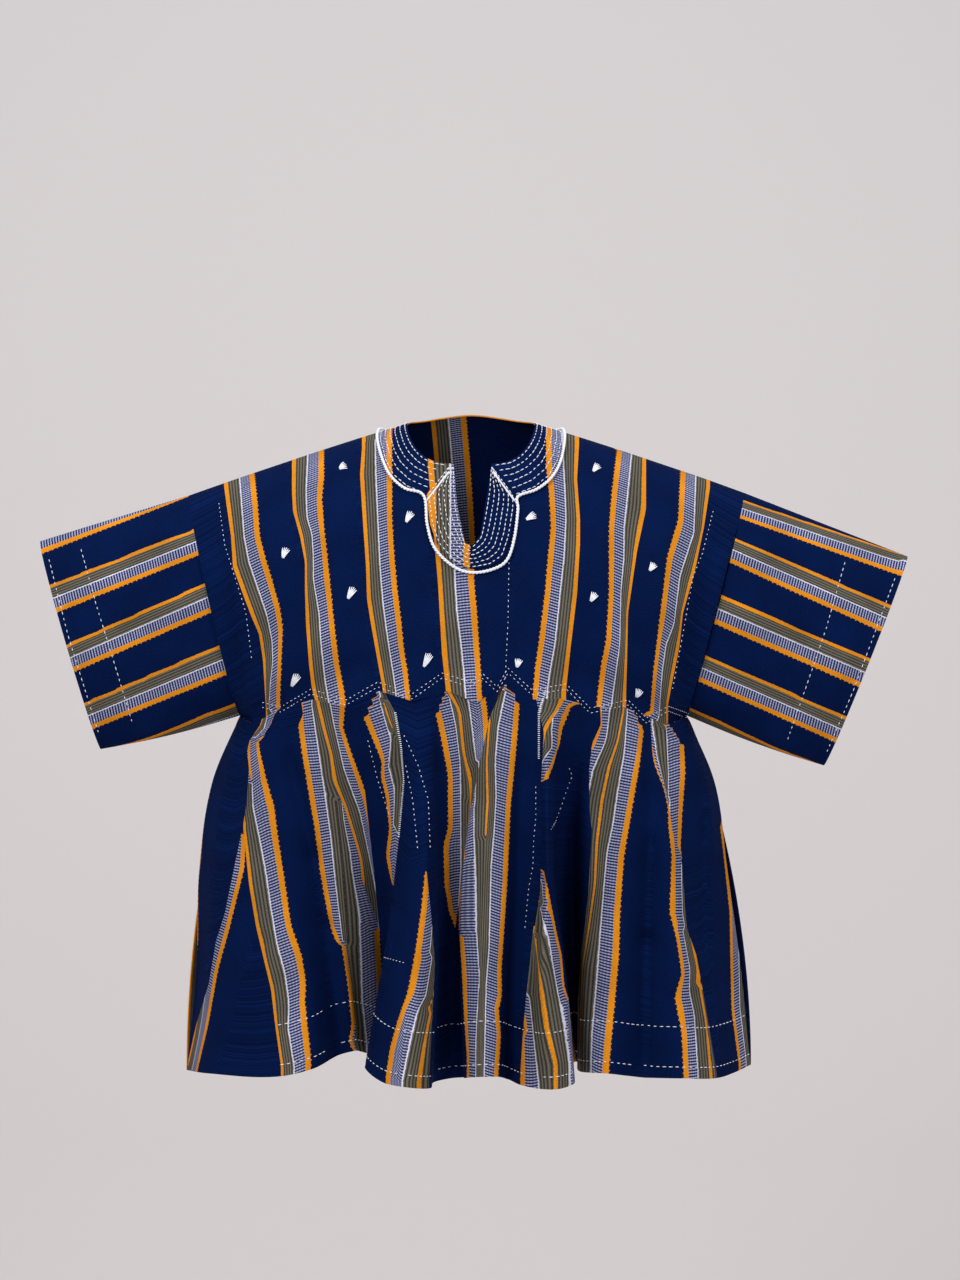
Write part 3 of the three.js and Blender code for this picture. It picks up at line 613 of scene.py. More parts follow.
def skirt_surface(half, folds):
    """Rows of points down the skirt, with FINE columns a fold."""
    waist, hem, hem_z, out = folds[0], folds[-3], folds[-2], folds[-1]
    top = body_point(half, waist, np.interp(waist, corner_x, corner_z))
    grid = []
    for t in np.linspace(0, 1, SKIRT_ROWS):
        z = mix(top[:, 2], hem_z, t)
        x = mix(waist, hem, math.sin(t * math.pi / 2) ** 0.8)
        if len(folds) > 4:
            x = np.array([smooth([-top[i, 2], *LEVELS, -hem_z[i]], folds[:5, i], -z[[i]])[0]
                          for i in range(len(x))])
        y = half["side"] * mix(np.abs(top[:, 1]), out, t ** 0.85)
        corners = np.stack([x, y, z], axis=1)
        at = run(corners)
        fine = np.interp(np.arange(0, len(x) - 1 + 1e-9, 1 / FINE), np.arange(len(x)), at)
        grid.append(np.stack([smooth(at, corners[:, k], fine) for k in range(3)], axis=1))
    grid = np.array(grid)
    seam = body_point(half, grid[0, :, 0], np.interp(grid[0, :, 0], corner_x, corner_z))
    fade = np.clip(1 - np.linspace(0, 1, SKIRT_ROWS) / 0.12, 0, 1)[:, None, None]
    return grid + fade * (seam - grid[0])


def skirt_normals(grid, side):
    way = np.gradient(grid, axis=1)
    toward = np.stack([-side * way[..., 1], side * way[..., 0], way[..., 2] * 0], axis=-1)
    return outward(grid, toward)


# Seams of the front skirt: the folds that each lies between, and where it shows.
FORK = [(263, 690), (264, 713), (259, 728), (250, 739), (247, 752), (249, 767), (247, 800),
        (243, 826)]
SEAMS = {
    "side": (0, 0.01, [(232, 700), (186, 1070)]),
    "a": (0, 3.2, FORK + [(240, 840), (233, 873), (225, 913), (216, 941), (209, 983),
        (197, 1022), (186, 1067)]),
    "b": (0.8, 3.2, FORK + [(249, 884), (256, 926), (264, 960), (271, 989), (275, 1024),
        (281, 1066)]),
    "c": (3, 5.2, [(313, 690), (309, 704), (303, 715), (294, 735), (292, 744), (308, 840),
        (326, 927), (340, 1072)]),
    "d": (4.6, 8.6, [(314, 690), (317, 705), (322, 726), (330, 755), (333, 781), (343, 803),
        (353, 835), (360, 859), (362, 880), (380, 930), (384, 1000), (384, 1072)]),
    "e": (7, 9, [(352, 690), (364, 783), (374, 872), (383, 971), (384, 1058)]),
    "f": (9, 11, [(383, 690), (395, 712), (404, 780), (399, 838), (393, 890), (390, 906),
        (382, 956), (376, 982), (365, 1061)]),
    "g": (12, 14.5, [(436, 690), (433, 800), (426, 866), (431, 913), (435, 963), (433, 1006),
        (429, 1078)]),
    "h": (14.3, 16.5, [(446, 690), (458, 710), (462, 750), (469, 783), (470, 803), (462, 880),
        (455, 930), (452, 1000), (452, 1075)]),
    "t3": (15.2, 18.9, [(500, 690), (490, 716), (480, 761), (473, 800), (470, 806)]),
    "i": (16.8, 19, [(505, 684), (490, 716), (487, 761), (488, 803), (486, 831), (481, 970),
        (480, 1072)]),
    "j": (20, 25, [(534, 690), (539, 712), (544, 732), (543, 747), (541, 783), (541, 868),
        (540, 893), (533, 929), (530, 963), (526, 997), (523, 1033), (520, 1078)]),
    "q": (20, 25, [(567, 690), (563, 703), (554, 716), (546, 731), (543, 747), (541, 783),
        (541, 868), (540, 893), (534, 932), (541, 985), (547, 1028), (556, 1064)]),
    "l": (25.2, 26.8, [(599, 690), (601, 724), (592, 744), (589, 772), (590, 817), (592, 828),
        (588, 898), (581, 954), (576, 1025), (576, 1067)]),
    "m": (26.2, 28.2, [(627, 690), (623, 716), (618, 741), (609, 767), (602, 800), (597, 842),
        (595, 884), (589, 926), (582, 969), (580, 1025), (579, 1070)]),
    "n": (28.3, 30.2, [(650, 690), (650, 716), (652, 747), (655, 780), (660, 806), (655, 842),
        (652, 940), (650, 1075)]),
    "o": (29.5, 31.6, [(662, 690), (666, 727), (668, 772), (668, 795), (672, 830), (681, 855),
        (687, 929), (696, 954), (704, 997), (710, 1033), (717, 1075)]),
    "p": (30.8, 32.6, [(680, 690), (704, 786), (707, 828), (707, 940), (717, 1000), (722, 1075)]),
    "edge": (32.99, 33, [(692, 700), (751, 1064)]),
}
# The pieces of the front skirt: the seams at both sides, the rows where it begins and ends,
# the way the woven band faces, and where lines of the band show on it. A pair of values is
# a cut, where the band on one side stops.
PIECES = [
    ("side_right", "side", "a", 0, BELOW, "plain", [1], [
        (GOLD_OUT, [(214, 768), (209, 796), (204, 817), (201, 856), (198, 884), (198, 940),
            (194, 977), (192, 1003), (186, 1066)]),
    ]),
    ("slant_right", "a", "b", 828, BELOW, "plain", [], [
        (GOLD_OUT, [(246, 830), (244, 868), (229, 929), (218, 969), (208, 1025), (197, 1072)]),
    ]),
    ("godet_right", "b", "c", 0, BELOW, "plain", [2], [
        (0.5, ("left", 0, 730)), (LINE, [(270, 690), (268, 712), (263, 732)]),
        ((28, 74), [(280, 690), (279, 706), (270, 726), (262, 738)]),
        (GOLD, [(250, 739), (249, 752), (250, 767), (252, 778)]), (22, [(254, 739), (254, 778)]),
        (GOLD, [(256, 739), (258, 754), (264, 782), (271, 807), (275, 838), (282, 884), (288, 926),
            (299, 957), (303, 982), (302, 1003), (308, 1059)]),
        (LINE, [(252, 779), (253, 807), (260, 841), (266, 873), (271, 908), (277, 944), (285, 974),
            (289, 1003), (288, 1028), (294, 1066)]), (1.5, ("left", 826, BELOW)),
    ]),
    ("turned_godet_right", "c", "d", 0, BELOW, "turned", [3], [
        (GOLD, [(301, 690), (301, 724), (305, 754), (311, 789), (317, 824), (322, 866), (333, 927),
            (341, 945)]),
        (LINE, [(312, 690), (312, 706), (318, 747), (324, 789), (331, 838), (335, 880),
            (343, 945)]),
        (GOLD_OUT, [(342, 946), (348, 985), (352, 1025), (349, 1042), (356, 1056), (357, 1072)]),
        ((34, 10), [(346, 946), (352, 985), (356, 1025), (353, 1042), (360, 1056), (361, 1072)]),
        (9, [(336, 800), (338, 820), (343, 870), (348, 945)]),
        (LINE, [(342, 800), (344, 821), (350, 852), (352, 870), (359, 913), (361, 956), (362, 999),
            (366, 1035), (369, 1072)]), (GOLD, [(377, 931), (379, 983), (381, 1072)]),
        (8, ("right", 0, 799)), (30, ("right", 800, 930)), (41, ("right", 931, BELOW)),
    ]),
    ("inner_godet_right", "d", "e", 0, BELOW, "plain", [4], [
        (0.5, ("left", 0, 883)),
        (LINE, [(327, 690), (330, 703), (334, 724), (344, 769), (360, 812), (368, 850), (378, 900),
            (384, 1040)]),
        (GOLD, [(343, 690), (342, 706), (340, 727), (348, 752), (357, 776), (365, 800), (374, 850),
            (384, 900), (390, 1040)]),
    ]),
    ("inner_strip_right", "e", "f", 0, BELOW, "turned", [5], [
        ((74, 30), [(377, 690), (365, 714)]),
        (GOLD, [(366, 716), (377, 743), (384, 760), (383, 777), (388, 796), (391, 828), (387, 855),
            (393, 886)]),
        (LINE, [(378, 690), (384, 715), (391, 740), (388, 765), (394, 789), (394, 805),
            (393, 829)]), (3, [(382, 700), (387, 715), (393, 730)]), (16, ("right", 0, 738)),
        (8, ("right", 739, 829)), (22, ("right", 830, 888)),
    ]),
    ("ridge_right", "f", "g", 0, BELOW, "turned", [6, 7], [
        (GOLD_OUT, [(426, 866), (422, 906), (416, 949), (408, 992), (398, 1020), (390, 1049),
            (386, 1077)]), (LINE, [(433, 952), (426, 995), (417, 1012), (410, 1042), (402, 1082)]),
        (3, [(431, 1011), (424, 1045), (418, 1081)]), (11, ("right", 1022, BELOW)),
    ]),
    ("middle_godet", "g", "h", 0, BELOW, "turned", [], [
        ((74, 30), [(445, 690), (438, 709)]),
        (GOLD, [(438, 711), (444, 737), (451, 775), (451, 827), (446, 845), (447, 884), (452, 912),
            (458, 928)]), (LINE, [(448, 690), (456, 726), (460, 761), (461, 866), (458, 912)]),
        (10, ("right", 0, 800)),
    ]),
    ("tongue_middle", "h", "t3", 0, 806, "plain", [], [
        (0.5, LEFT), (LINE, [(464, 670), (470, 712), (476, 761)]),
    ]),
    ("middle_slant", "h", "i", 804, BELOW, "turned", [8], [
        (3.5, ("right", 0, 835)), (8, ("right", 836, BELOW)),
        (LINE, [(474, 803), (474, 838), (476, 880), (477, 935), (480, 978), (478, 1006),
            (476, 1042)]),
        (GOLD_OUT, [(462, 870), (459, 899), (459, 927), (462, 970), (464, 1013), (467, 1056)]),
    ]),
    ("middle_slant_top", "t3", "i", 716, 806, "turned", [], [(3.5, RIGHT)]),
    ("middle_strip", "i", "j", 0, BELOW, "plain", [9], [
        (3.5, ("left", 716, 835)), (8, ("left", 836, BELOW)), ((30, 60), [(506, 684), (516, 697)]),
        (LINE, [(506, 690), (498, 726), (495, 761), (496, 796), (494, 831), (491, 866), (489, 949),
            (486, 985), (484, 1071)]),
        (GOLD, [(517, 699), (515, 733), (512, 768), (508, 803), (505, 880), (502, 927), (499, 970),
            (500, 996), (496, 1008), (499, 1035), (496, 1074)]),
    ]),
    ("tongue_left", "j", "q", 0, 746, "turned", [], [
        (0.5, RIGHT), (LINE, [(546, 690), (541, 705), (540, 714)]),
        (GOLD, [(534, 690), (534, 697)]),
    ]),
    ("ridge_left_slant", "j", "q", 932, BELOW, "turned", [10], [
        (3.5, RIGHT), (19, ("left", 932, 994)), (LINE, [(529, 996), (534, 1042), (539, 1085)]),
        (GOLD, [(522, 1036), (522, 1078)]),
    ]),
    ("godet_left", "q", "l", 0, BELOW, "plain", [11], [
        (GOLD, [(568, 706), (560, 728), (558, 746), (552, 765), (543, 784)]),
        (LINE, [(564, 695), (556, 716)]),
        (GOLD_OUT, [(543, 868), (550, 899), (557, 935), (562, 956), (564, 985), (570, 1005),
            (576, 1060)]), (LINE, [(540, 907), (549, 939), (556, 982), (563, 1020), (569, 1064)]),
        (12, ("left", 907, 935)), (3.5, ("left", 936, BELOW)),
    ]),
    ("inner_tongue_left", "l", "m", 0, BELOW, "turned", [12], [
        (3.5, RIGHT), (LINE, [(612, 690), (606, 740), (592, 772)]),
        (GOLD, [(599, 690), (601, 726), (591, 750)]),
    ]),
    ("inner_strip_left", "m", "n", 0, BELOW, "plain", [13], [
        (3.5, LEFT), ((30, 60), [(628, 700), (641, 724)]),
        (LINE, [(627, 690), (627, 711), (624, 754), (618, 789), (613, 824), (607, 852), (604, 884),
            (600, 935), (597, 978), (592, 1035), (591, 1071)]),
        (GOLD, [(642, 727), (638, 758), (628, 814), (621, 856), (617, 912), (616, 954), (611, 1010),
            (606, 1067)]),
    ]),
    ("strip_left", "n", "o", 0, BELOW, "turned", [14], [
        (LINE, [(654, 690), (652, 724), (657, 758), (669, 805)]), (1, ("right", 0, 728)),
        (9, ("right", 729, 800)),
        (GOLD_OUT, [(650, 742), (655, 765), (664, 787), (668, 806), (669, 828), (672, 856),
            (670, 912), (677, 940), (682, 974), (675, 997), (682, 1033), (684, 1078)]),
        (LINE, [(682, 926), (690, 969), (689, 991), (694, 1013), (698, 1075)]),
        (3, [(700, 983), (707, 1025), (711, 1075)]), (11, ("right", 992, BELOW)),
    ]),
    ("slant_left", "o", "p", 0, BELOW, "plain", [], [
        (LINE, ("left", 0, 797)), ((30, 60), [(668, 722), (681, 742)]),
        (GOLD, [(682, 744), (683, 772), (680, 814), (679, 842), (679, 858)]),
    ]),
    ("side_left", "p", "edge", 0, BELOW, "turned", [15], [
        (GOLD, [(748, 770), (721, 825), (725, 856), (731, 912), (732, 969), (733, 1010),
            (740, 1064)]),
    ]),
]
# Creases between the folds: two ends in x and z, the width and the depth.
SKIRT_CREASES = [
    (-195, -359, -170, -464, 8, -5), (-170, -464, -155, -540, 8, -5),
    (-155, -540, -143, -674, 8, -5), (-246, -356, -261, -449, 9, -5),
    (-221, -555, -246, -674, 9, -4), (192, -449, 188, -553, 8, -5),
    (188, -553, 186, -690, 8, -5), (249, -389, 252, -434, 8, -5),
    (252, -434, 250, -553, 8, -5),
]
skirt = skirt_surface(FRONT, FRONT_FOLDS)
inward = np.arange(skirt.shape[1]) / FINE      # folds in from a side seam, where creases fade
inward = np.clip(np.minimum(inward, inward[::-1]) / 1.2, 0, 1)[:, None]
skirt = mix(skirt, crease(skirt, FRONT["side"], SKIRT_CREASES), inward)
front_skirt = skirt, skirt_normals(skirt, FRONT["side"])
seam_folds = {name: line_folds(front_skirt[0], *seam) for name, seam in SEAMS.items()}
front_skirt_pieces = [
    cloth_piece(f"front_skirt_{name}", *front_skirt, seam_folds[left], seam_folds[right], kind,
                [f"front_gore_{n}" for n in nodes], lines, begin, end)
    for name, left, right, begin, end, kind, nodes, lines in PIECES
]

# The back skirt: strips and godets in turn, sewn edge to edge into the waist seam and
# gathered in softer, evener folds.
BACK_FOLDS = np.array([
    # a fold's x at the waist and at the hem, the hem's height, and how far out the hem stands
    (-254, -313, -706, 0), (-243, -300, -704, 52), (-222, -270, -702, 104),
    (-198, -238, -700, 92), (-170, -206, -701, 150), (-141, -166, -699, 122),
    (-112, -132, -703, 184), (-82, -93, -700, 146), (-53, -62, -704, 206),
    (-24, -26, -701, 160), (4, 9, -705, 212), (33, 42, -702, 164),
    (62, 76, -704, 200), (91, 108, -700, 142), (120, 145, -702, 176),
    (147, 176, -699, 118), (172, 210, -700, 142), (194, 240, -698, 90),
    (214, 268, -700, 98), (228, 294, -700, 50), (237, 308, -700, 0),
]).T
BACK_SEAMS = [0, 2, 3, 5, 7, 9, 11, 13, 15, 17, 18, 20]
skirt = skirt_surface(BACK, BACK_FOLDS)
back_skirt = skirt, skirt_normals(skirt, BACK["side"])
seam_folds = np.outer(BACK_SEAMS, np.ones(SKIRT_ROWS))
back_skirt_pieces = []
for i in range(len(BACK_SEAMS) - 1):
    kind, side = (("plain", LEFT), ("turned", RIGHT))[i % 2]
    back_skirt_pieces.append(cloth_piece(
        f"back_skirt_{i + 1}", *back_skirt, seam_folds[i], seam_folds[i + 1], kind,
        [f"back_gore_{i + 1}"], [(0, side)]))

# The sleeves: short wide tubes of the same strips laid lengthwise, sewn to the armholes and
# open at the cuffs.
CUFF_DEPTH = 34


def sleeve(name, arm, edges, creases, cols=120, rows=44):
    s = np.linspace(0, 1, rows)[:, None]
    turn = np.linspace(0, 2 * np.pi, cols, endpoint=False)[None]

    def edge(end):
        (x0, z0), (x1, z1) = arm[end], arm["cuff_" + end]
        return np.stack([arm["sign"] * mix(x0, x1, s), mix(z0, z1, s)])

    top, low = edge("top"), edge("bottom")
    low[1] -= 3 * np.sin(np.pi * s)
    down = (low - top) / 2
    length = np.hypot(*down)
    depth = mix(ARM_DEPTH, CUFF_DEPTH, s)
    x, z = (top + low) / 2 - down * np.cos(turn)
    grid = np.stack([x, depth * np.sin(turn) + x * 0, z], axis=-1)
    out = [*(-down * np.cos(turn) / length * depth), length * np.sin(turn)]
    normal = unit(np.stack(out, axis=-1)[..., [0, 2, 1]])
    lifted = crease(grid, 1, creases)[..., 1] - grid[..., 1]
    lifted = lifted * np.abs(np.sin(turn)) * np.clip(s * 6, 0, 1) * np.clip((1 - s) * 8, 0.3, 1)
    grid = grid + normal * lifted[..., None]
    front = np.arange(cols - 1, cols // 2 - 1, -1)
    around = row_length(grid[:, front])
    across = np.empty((rows, cols))
    px, py = seen(grid[:, front])
    for r in range(rows):
        known = {}
        for k, ((x0, y0), (x1, y1)) in edges.items():
            off = py[r] - (y0 + (px[r] - x0) * (y1 - y0) / (x1 - x0))
            if off[0] >= 0:
                continue
            spot, value = np.interp(0, off, around[r]), k // 2 * STRIP
            if k % 2:
                known[spot] = value + GOLD_OUT
            else:                                          # a seam, with the edge turned in
                known[spot - CUT], known[spot + CUT] = value - 0.1, value + THIN
        half = spread(around[r], known)
        across[r, front] = half
        across[r, :cols // 2] = np.interp(np.arange(cols // 2), np.arange(len(half)), half)
    along = row_length(grid.swapaxes(0, 1)).T
    piece = shell(name + "_cloth", grid, normal, across + STRIP, along, ring=True)
    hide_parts(name)
    piece["cut"] = (row_length(grid)[:, -1].max() + 5, along.max())    # 5 closes the ring
    declare_cut(piece, "hung")
    return piece


# Edges of the bands by number, even ones seams and odd ones the wide orange's outer edges,
# each by where it starts and ends in the view.
sleeve_right = sleeve("sleeve_right", RIGHT_ARM, {
    1: ((192, 495), (43, 553)), 2: ((194.5, 530), (50, 586)), 3: ((198, 555), (57, 612)),
    4: ((203, 585), (68, 645)), 5: ((211, 612), (75, 671)), 6: ((224, 644), (86, 703)),
    7: ((235, 671), (92, 729)),
}, [(-330, -110, -300, -280, 18, 4), (-400, -120, -350, -330, 22, -4),
    (-440, -150, -390, -345, 14, 3)])
sleeve_left = sleeve("sleeve_left", LEFT_ARM, {
    0: ((744, 501), (907, 556)), 1: ((740, 518), (902, 576)), 2: ((738, 540), (890, 606)),
    3: ((730, 562), (881, 631)), 4: ((718, 595), (871, 660)), 5: ((710, 621), (860, 687)),
    6: ((703, 655), (847, 718)), 7: ((697, 680), (836, 742)),
}, [(325, -110, 285, -280, 18, 4), (400, -120, 340, -330, 22, -4), (440, -160, 380, -345, 14, 3)])

# The neck: a rounded hole cut through the six middle strips, three of the front and three
# of the back, with a slit down the front that lets the head pass.
SLIT = np.array([(-18, -30), (-18, -48), (-14, -92), (-6, -131), (2, -133), (10, -122),
                 (16, -86), (22, -48), (22, -30)])
turn = np.linspace(0, 2 * np.pi, 96, endpoint=False)
power = 2 / 3.2
hole_x = 70 * np.sign(np.cos(turn)) * np.abs(np.cos(turn)) ** power
hole_y = np.where(np.sin(turn) < 0, -78 * np.abs(np.sin(turn)) ** power, 47 * np.sin(turn))


def cutter(name, ring, axis, ends):
    """A closed prism from a ring of points, from one end to the other along an axis, in mm."""
    count = len(ring)
    k = np.arange(count)
    after = (k + 1) % count
    faces = quads(k, after, after + count, k + count).tolist()
    points = np.concatenate([np.insert(ring, axis, end, axis=1) for end in ends])
    return put(name, mesh_of(name, points, faces + [k[::-1].tolist(), (k + count).tolist()]))


def cut_away(piece, tool):
    boolean = piece.modifiers.new("cut", "BOOLEAN")
    boolean.operation = "DIFFERENCE"
    boolean.solver = "EXACT"
    boolean.object = tool
    shown = piece.evaluated_get(bpy.context.evaluated_depsgraph_get())
    mesh = bpy.data.meshes.new_from_object(shown)
    piece.modifiers.clear()
    piece.data = mesh


hole = cutter("hole", np.stack([hole_x, hole_y], axis=1), 2, (-220, 80))
slit = cutter("slit", SLIT[::-1], 1, (-200, -40))
for strip in front_strips[3:6] + back_strips[3:6]:
    cut_away(strip, hole)
for strip in front_strips[3:6]:
    cut_away(strip, slit)
for tool in (hole, slit):
    bpy.data.objects.remove(tool)
for strip in front_strips + back_strips:
    declare_cut(strip, "hung")
for piece in front_skirt_pieces + back_skirt_pieces:
    declare_cut(piece, "gathered")

# The placket: a U of the same cloth, laid on round the slit and sewn down, its stripes a
# little off those of the strip below it. Its outer edge, in x and z:
PLACKET = np.array([(-24, -49), (-47, -78), (-43, -110), (-35, -133), (-18, -151), (0, -158),
                    (21, -155), (35, -146), (42, -125), (47, -94), (47, -80), (23, -49)])


def evenly(line, count):
    """A line of points resampled to even steps."""
    line = np.asarray(line, float)
    at = run(line)
    even = np.linspace(0, at[-1], count)
    return np.stack([np.interp(even, at, line[:, k]) for k in range(line.shape[1])], axis=1)


def on_body(half, place, lift=0):
    """Points of the body given by x and z, and moved out by a lift, with their normals."""
    x, z = place[..., 0], place[..., 1]
    point = body_point(half, x, z)
    way = body_point(half, x + 2, z) - body_point(half, x - 2, z)
    fall = body_point(half, x, z - 2) - body_point(half, x, z + 2)
    normal = unit(np.cross(way, fall))
    normal *= np.where((normal * [0, half["side"], 0.6]).sum(-1, keepdims=True) < 0, -1, 1)
    return point + normal * lift, normal


u_inner, u_outer = evenly(SLIT[1:-1], 90), evenly(PLACKET, 90)
placket_place = mix(u_inner[:, None], u_outer[:, None], np.linspace(0, 1, 14)[None, :, None])
placket_across = np.minimum(placket_place[..., 0] * 0.98 + 41, STRIP - 1)
placket = shell("neck_placket_cloth", *on_body(FRONT, placket_place, 1.7), placket_across,
                -placket_place[..., 1])
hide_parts("neck_placket")
placket["cut"] = (100, 112)
declare_cut(placket, "laid", rests_on=["front_strip_5_cloth"])

# The cord: thick white cotton of two plies, couched round the neck band and the placket. It
# is one closed round, sewn down along its whole length.
THREAD_DARK, THREAD_LIT = (0.62, 0.62, 0.68), (0.93, 0.93, 0.96)
white, tree, shader = material("white_thread", **{
    "Roughness": 0.75, "Specular IOR Level": 0.3, "Sheen Weight": 0.1})
fibre = node("ShaderNodeTexNoise", {"Scale": 900})
feed(fibre.inputs["Vector"], node("ShaderNodeTexCoord").outputs["Object"])
feed(shader.inputs["Base Color"], blend(fibre.outputs["Fac"], THREAD_DARK, THREAD_LIT))
raised(fibre.outputs["Fac"], 0.3, 0.0004)

CORD_FRONT = np.array([(-50, -80), (-46, -111), (-38, -136), (-19, -155), (0, -162), (22, -159),
                       (38, -149), (46, -126), (50, -95), (50, -81), (70, -73), (86, -60),
                       (96, -42), (101, -18)])
CORD_RIGHT = np.array([(-101, -18), (-94, -42), (-85, -59), (-70, -72)])


def behind_neck(count=9, width=100, depth=86):
    """Places on the back in x and z under a half ring seen from above."""
    turn = np.linspace(0, np.pi, count)
    x, y = width * np.cos(turn), depth * np.sin(turn)
    across = np.minimum(1, np.abs(x) / half_width(x, 0 * x)) ** 2
    drop = mix(BACK["drop"], ARM_DROP, across) * (1 - np.sqrt(1 - (y / BACK["depth"]) ** 2))
    return np.stack([x, shoulder_z(x) - np.maximum(drop, 0.5)], axis=1)


def closed_curve(points, count):
    """A Catmull-Rom curve round through points, resampled to even steps."""
    points = np.concatenate([points[-1:], points, points[:2]])
    a, b, c, d = points[:-3], points[1:-2], points[2:-1], points[3:]
    t = np.linspace(0, 1, 24, endpoint=False)[:, None, None]
    curve = 0.5 * (2 * b + (c - a) * t + (2 * a - 5 * b + 4 * c - d) * t ** 2
                   + (3 * b - a - 3 * c + d) * t ** 3)
    return evenly(np.concatenate([curve.swapaxes(0, 1).reshape(-1, 3), points[-2:-1]]), count)


def tubes(name, paths, radius, sides=5):
    """Round threads along paths in mm, each with its thickness at every point, as one mesh."""
    points, faces, start = [], [], 0
    turn = np.linspace(0, 2 * np.pi, sides, endpoint=False)
    for path, size in paths:
        way = unit(np.gradient(path, axis=0))
        side = unit(np.cross(way, [0.31, 0.87, 0.38]))
        lift = np.cross(side, way)
        ring = side[:, None] * np.cos(turn)[:, None] + lift[:, None] * np.sin(turn)[:, None]
        points.append((path[:, None] + ring * (radius * size)[:, None, None]).reshape(-1, 3))
        index = np.arange(len(path) * sides).reshape(-1, sides) + start
        a, b = index[:-1], index[1:]
        faces += quads(a, np.roll(a, -1, 1), np.roll(b, -1, 1), b).tolist()
        faces += [index[0, ::-1].tolist(), index[-1].tolist()]
        start += len(path) * sides
    mesh = mesh_of(name, np.concatenate(points), faces)
    mesh.shade_smooth()
    mesh.materials.append(white)
    made = put(name, mesh)
    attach(made, "root")
    return made


cord_path = closed_curve(np.concatenate([on_body(FRONT, CORD_FRONT, 3.0)[0],
                                         on_body(BACK, behind_neck(), 3.0)[0],
                                         on_body(FRONT, CORD_RIGHT, 3.0)[0]]), 900)
way = unit(np.gradient(cord_path, axis=0))
out = unit(np.cross(way, np.cross([0, 0, 1] + cord_path * [0.003, 0.012, 0], way)))
beside = np.cross(way, out)
twist = np.linspace(0, 2 * np.pi * 110, len(cord_path))[:, None]
plies = [(cord_path + 0.75 * (beside * np.cos(twist + ply) + out * np.sin(twist + ply)),
          np.ones(len(cord_path))) for ply in (0, np.pi)]
neck_cord = tubes("neck_cord_plies", plies, 1.05, 6)
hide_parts("neck_cord")

# The sewing: white cotton, by hand. Every row lies on the cloth that shows at its place,
# found by a ray from the viewer, or from as far behind the back.
corners, triangles, start = [], [], 0
sewn = front_strips + back_strips + front_skirt_pieces + back_skirt_pieces
for piece in sewn + [sleeve_right, sleeve_left, placket]:
    mesh = piece.data
    mesh.calc_loop_triangles()
    flat = np.empty(3 * len(mesh.vertices), dtype=np.float32)
    mesh.vertices.foreach_get("co", flat)
    index = np.empty(3 * len(mesh.loop_triangles), dtype=np.int32)
    mesh.loop_triangles.foreach_get("vertices", index)
    corners.append(flat.reshape(-1, 3))
    triangles.append(index.reshape(-1, 3) + start)
    start += len(mesh.vertices)
surface = BVHTree.FromPolygons(np.concatenate(corners).tolist(),
                               np.concatenate(triangles).tolist())


def touch(start, way):
    """Where a ray meets the cloth, in mm, with the normal towards its start."""
    hit, normal, _, _ = surface.ray_cast(Vector(start) / 1000, Vector(way).normalized())
    if hit is None:
        return None
    if normal.dot(Vector(way)) > 0:
        normal = -normal
    return np.array([*(hit * 1000), *normal])


def on_cloth(line, behind=False):
    """A line in the view, laid on the cloth of the front, or on the back's as if seen through."""
    line = np.asarray(line, float)
    count = max(3, int(np.linalg.norm(np.diff(line, axis=0), axis=1).sum() / 0.8))
    start = eye * [1, -1 if behind else 1, 1]
    found = []
    for px, py in evenly(line, count):
        across, down = (px - HALF_WIDE) * mm_a_pixel, (py - HALF_HIGH) * mm_a_pixel
        hit = touch(start, np.array([eye[0] + across, 0, eye[2] - down]) - start)
        if hit is not None:
            found.append(hit)
    return np.array(found)


def running(line, stitch, gap):
    """Running stitches along points with normals: each a path and its thickness."""
    if len(line) < 3:
        return []
    at = run(line[:, :3])
    steps = np.diff(at)
    made = []
    for k, begin in enumerate(np.arange(0.5, at[-1] - stitch, stitch + gap)):
        reach = stitch * (1 + 0.22 * math.sin(7.3 * k))
        spots = np.stack([np.interp(begin + reach * np.array([0, 0.5, 1]), at, line[:, i])
                          for i in range(6)], axis=1)
        jump = steps[max(0, np.searchsorted(at, begin) - 1)] > 5
        if np.linalg.norm(spots[2, :3] - spots[0, :3]) < 0.6 * reach or jump:
            continue
        path = spots[:, :3] + spots[:, 3:] * [[0.1], [0.6], [0.1]]
        made.append((path, np.array([0.55, 1, 0.55])))
    return made


def across_line(line, length, pitch):
    """Overcast stitches that lie across a line."""
    at = run(line[:, :3])
    made = []
    for begin in np.arange(1, at[-1] - 1, pitch):
        spot = np.array([np.interp(begin, at, line[:, i]) for i in range(6)])
        ahead = np.array([np.interp(begin + 1.2, at, line[:, i]) for i in range(3)])
        side = unit(np.cross(ahead - spot[:3], spot[3:]))
        ends = spot[:3] + np.outer([-0.5, 0, 0.5], side * length)
        made.append((ends + np.outer([0.2, 0.8, 0.2], spot[3:]), np.array([0.6, 1, 0.6])))
    return made


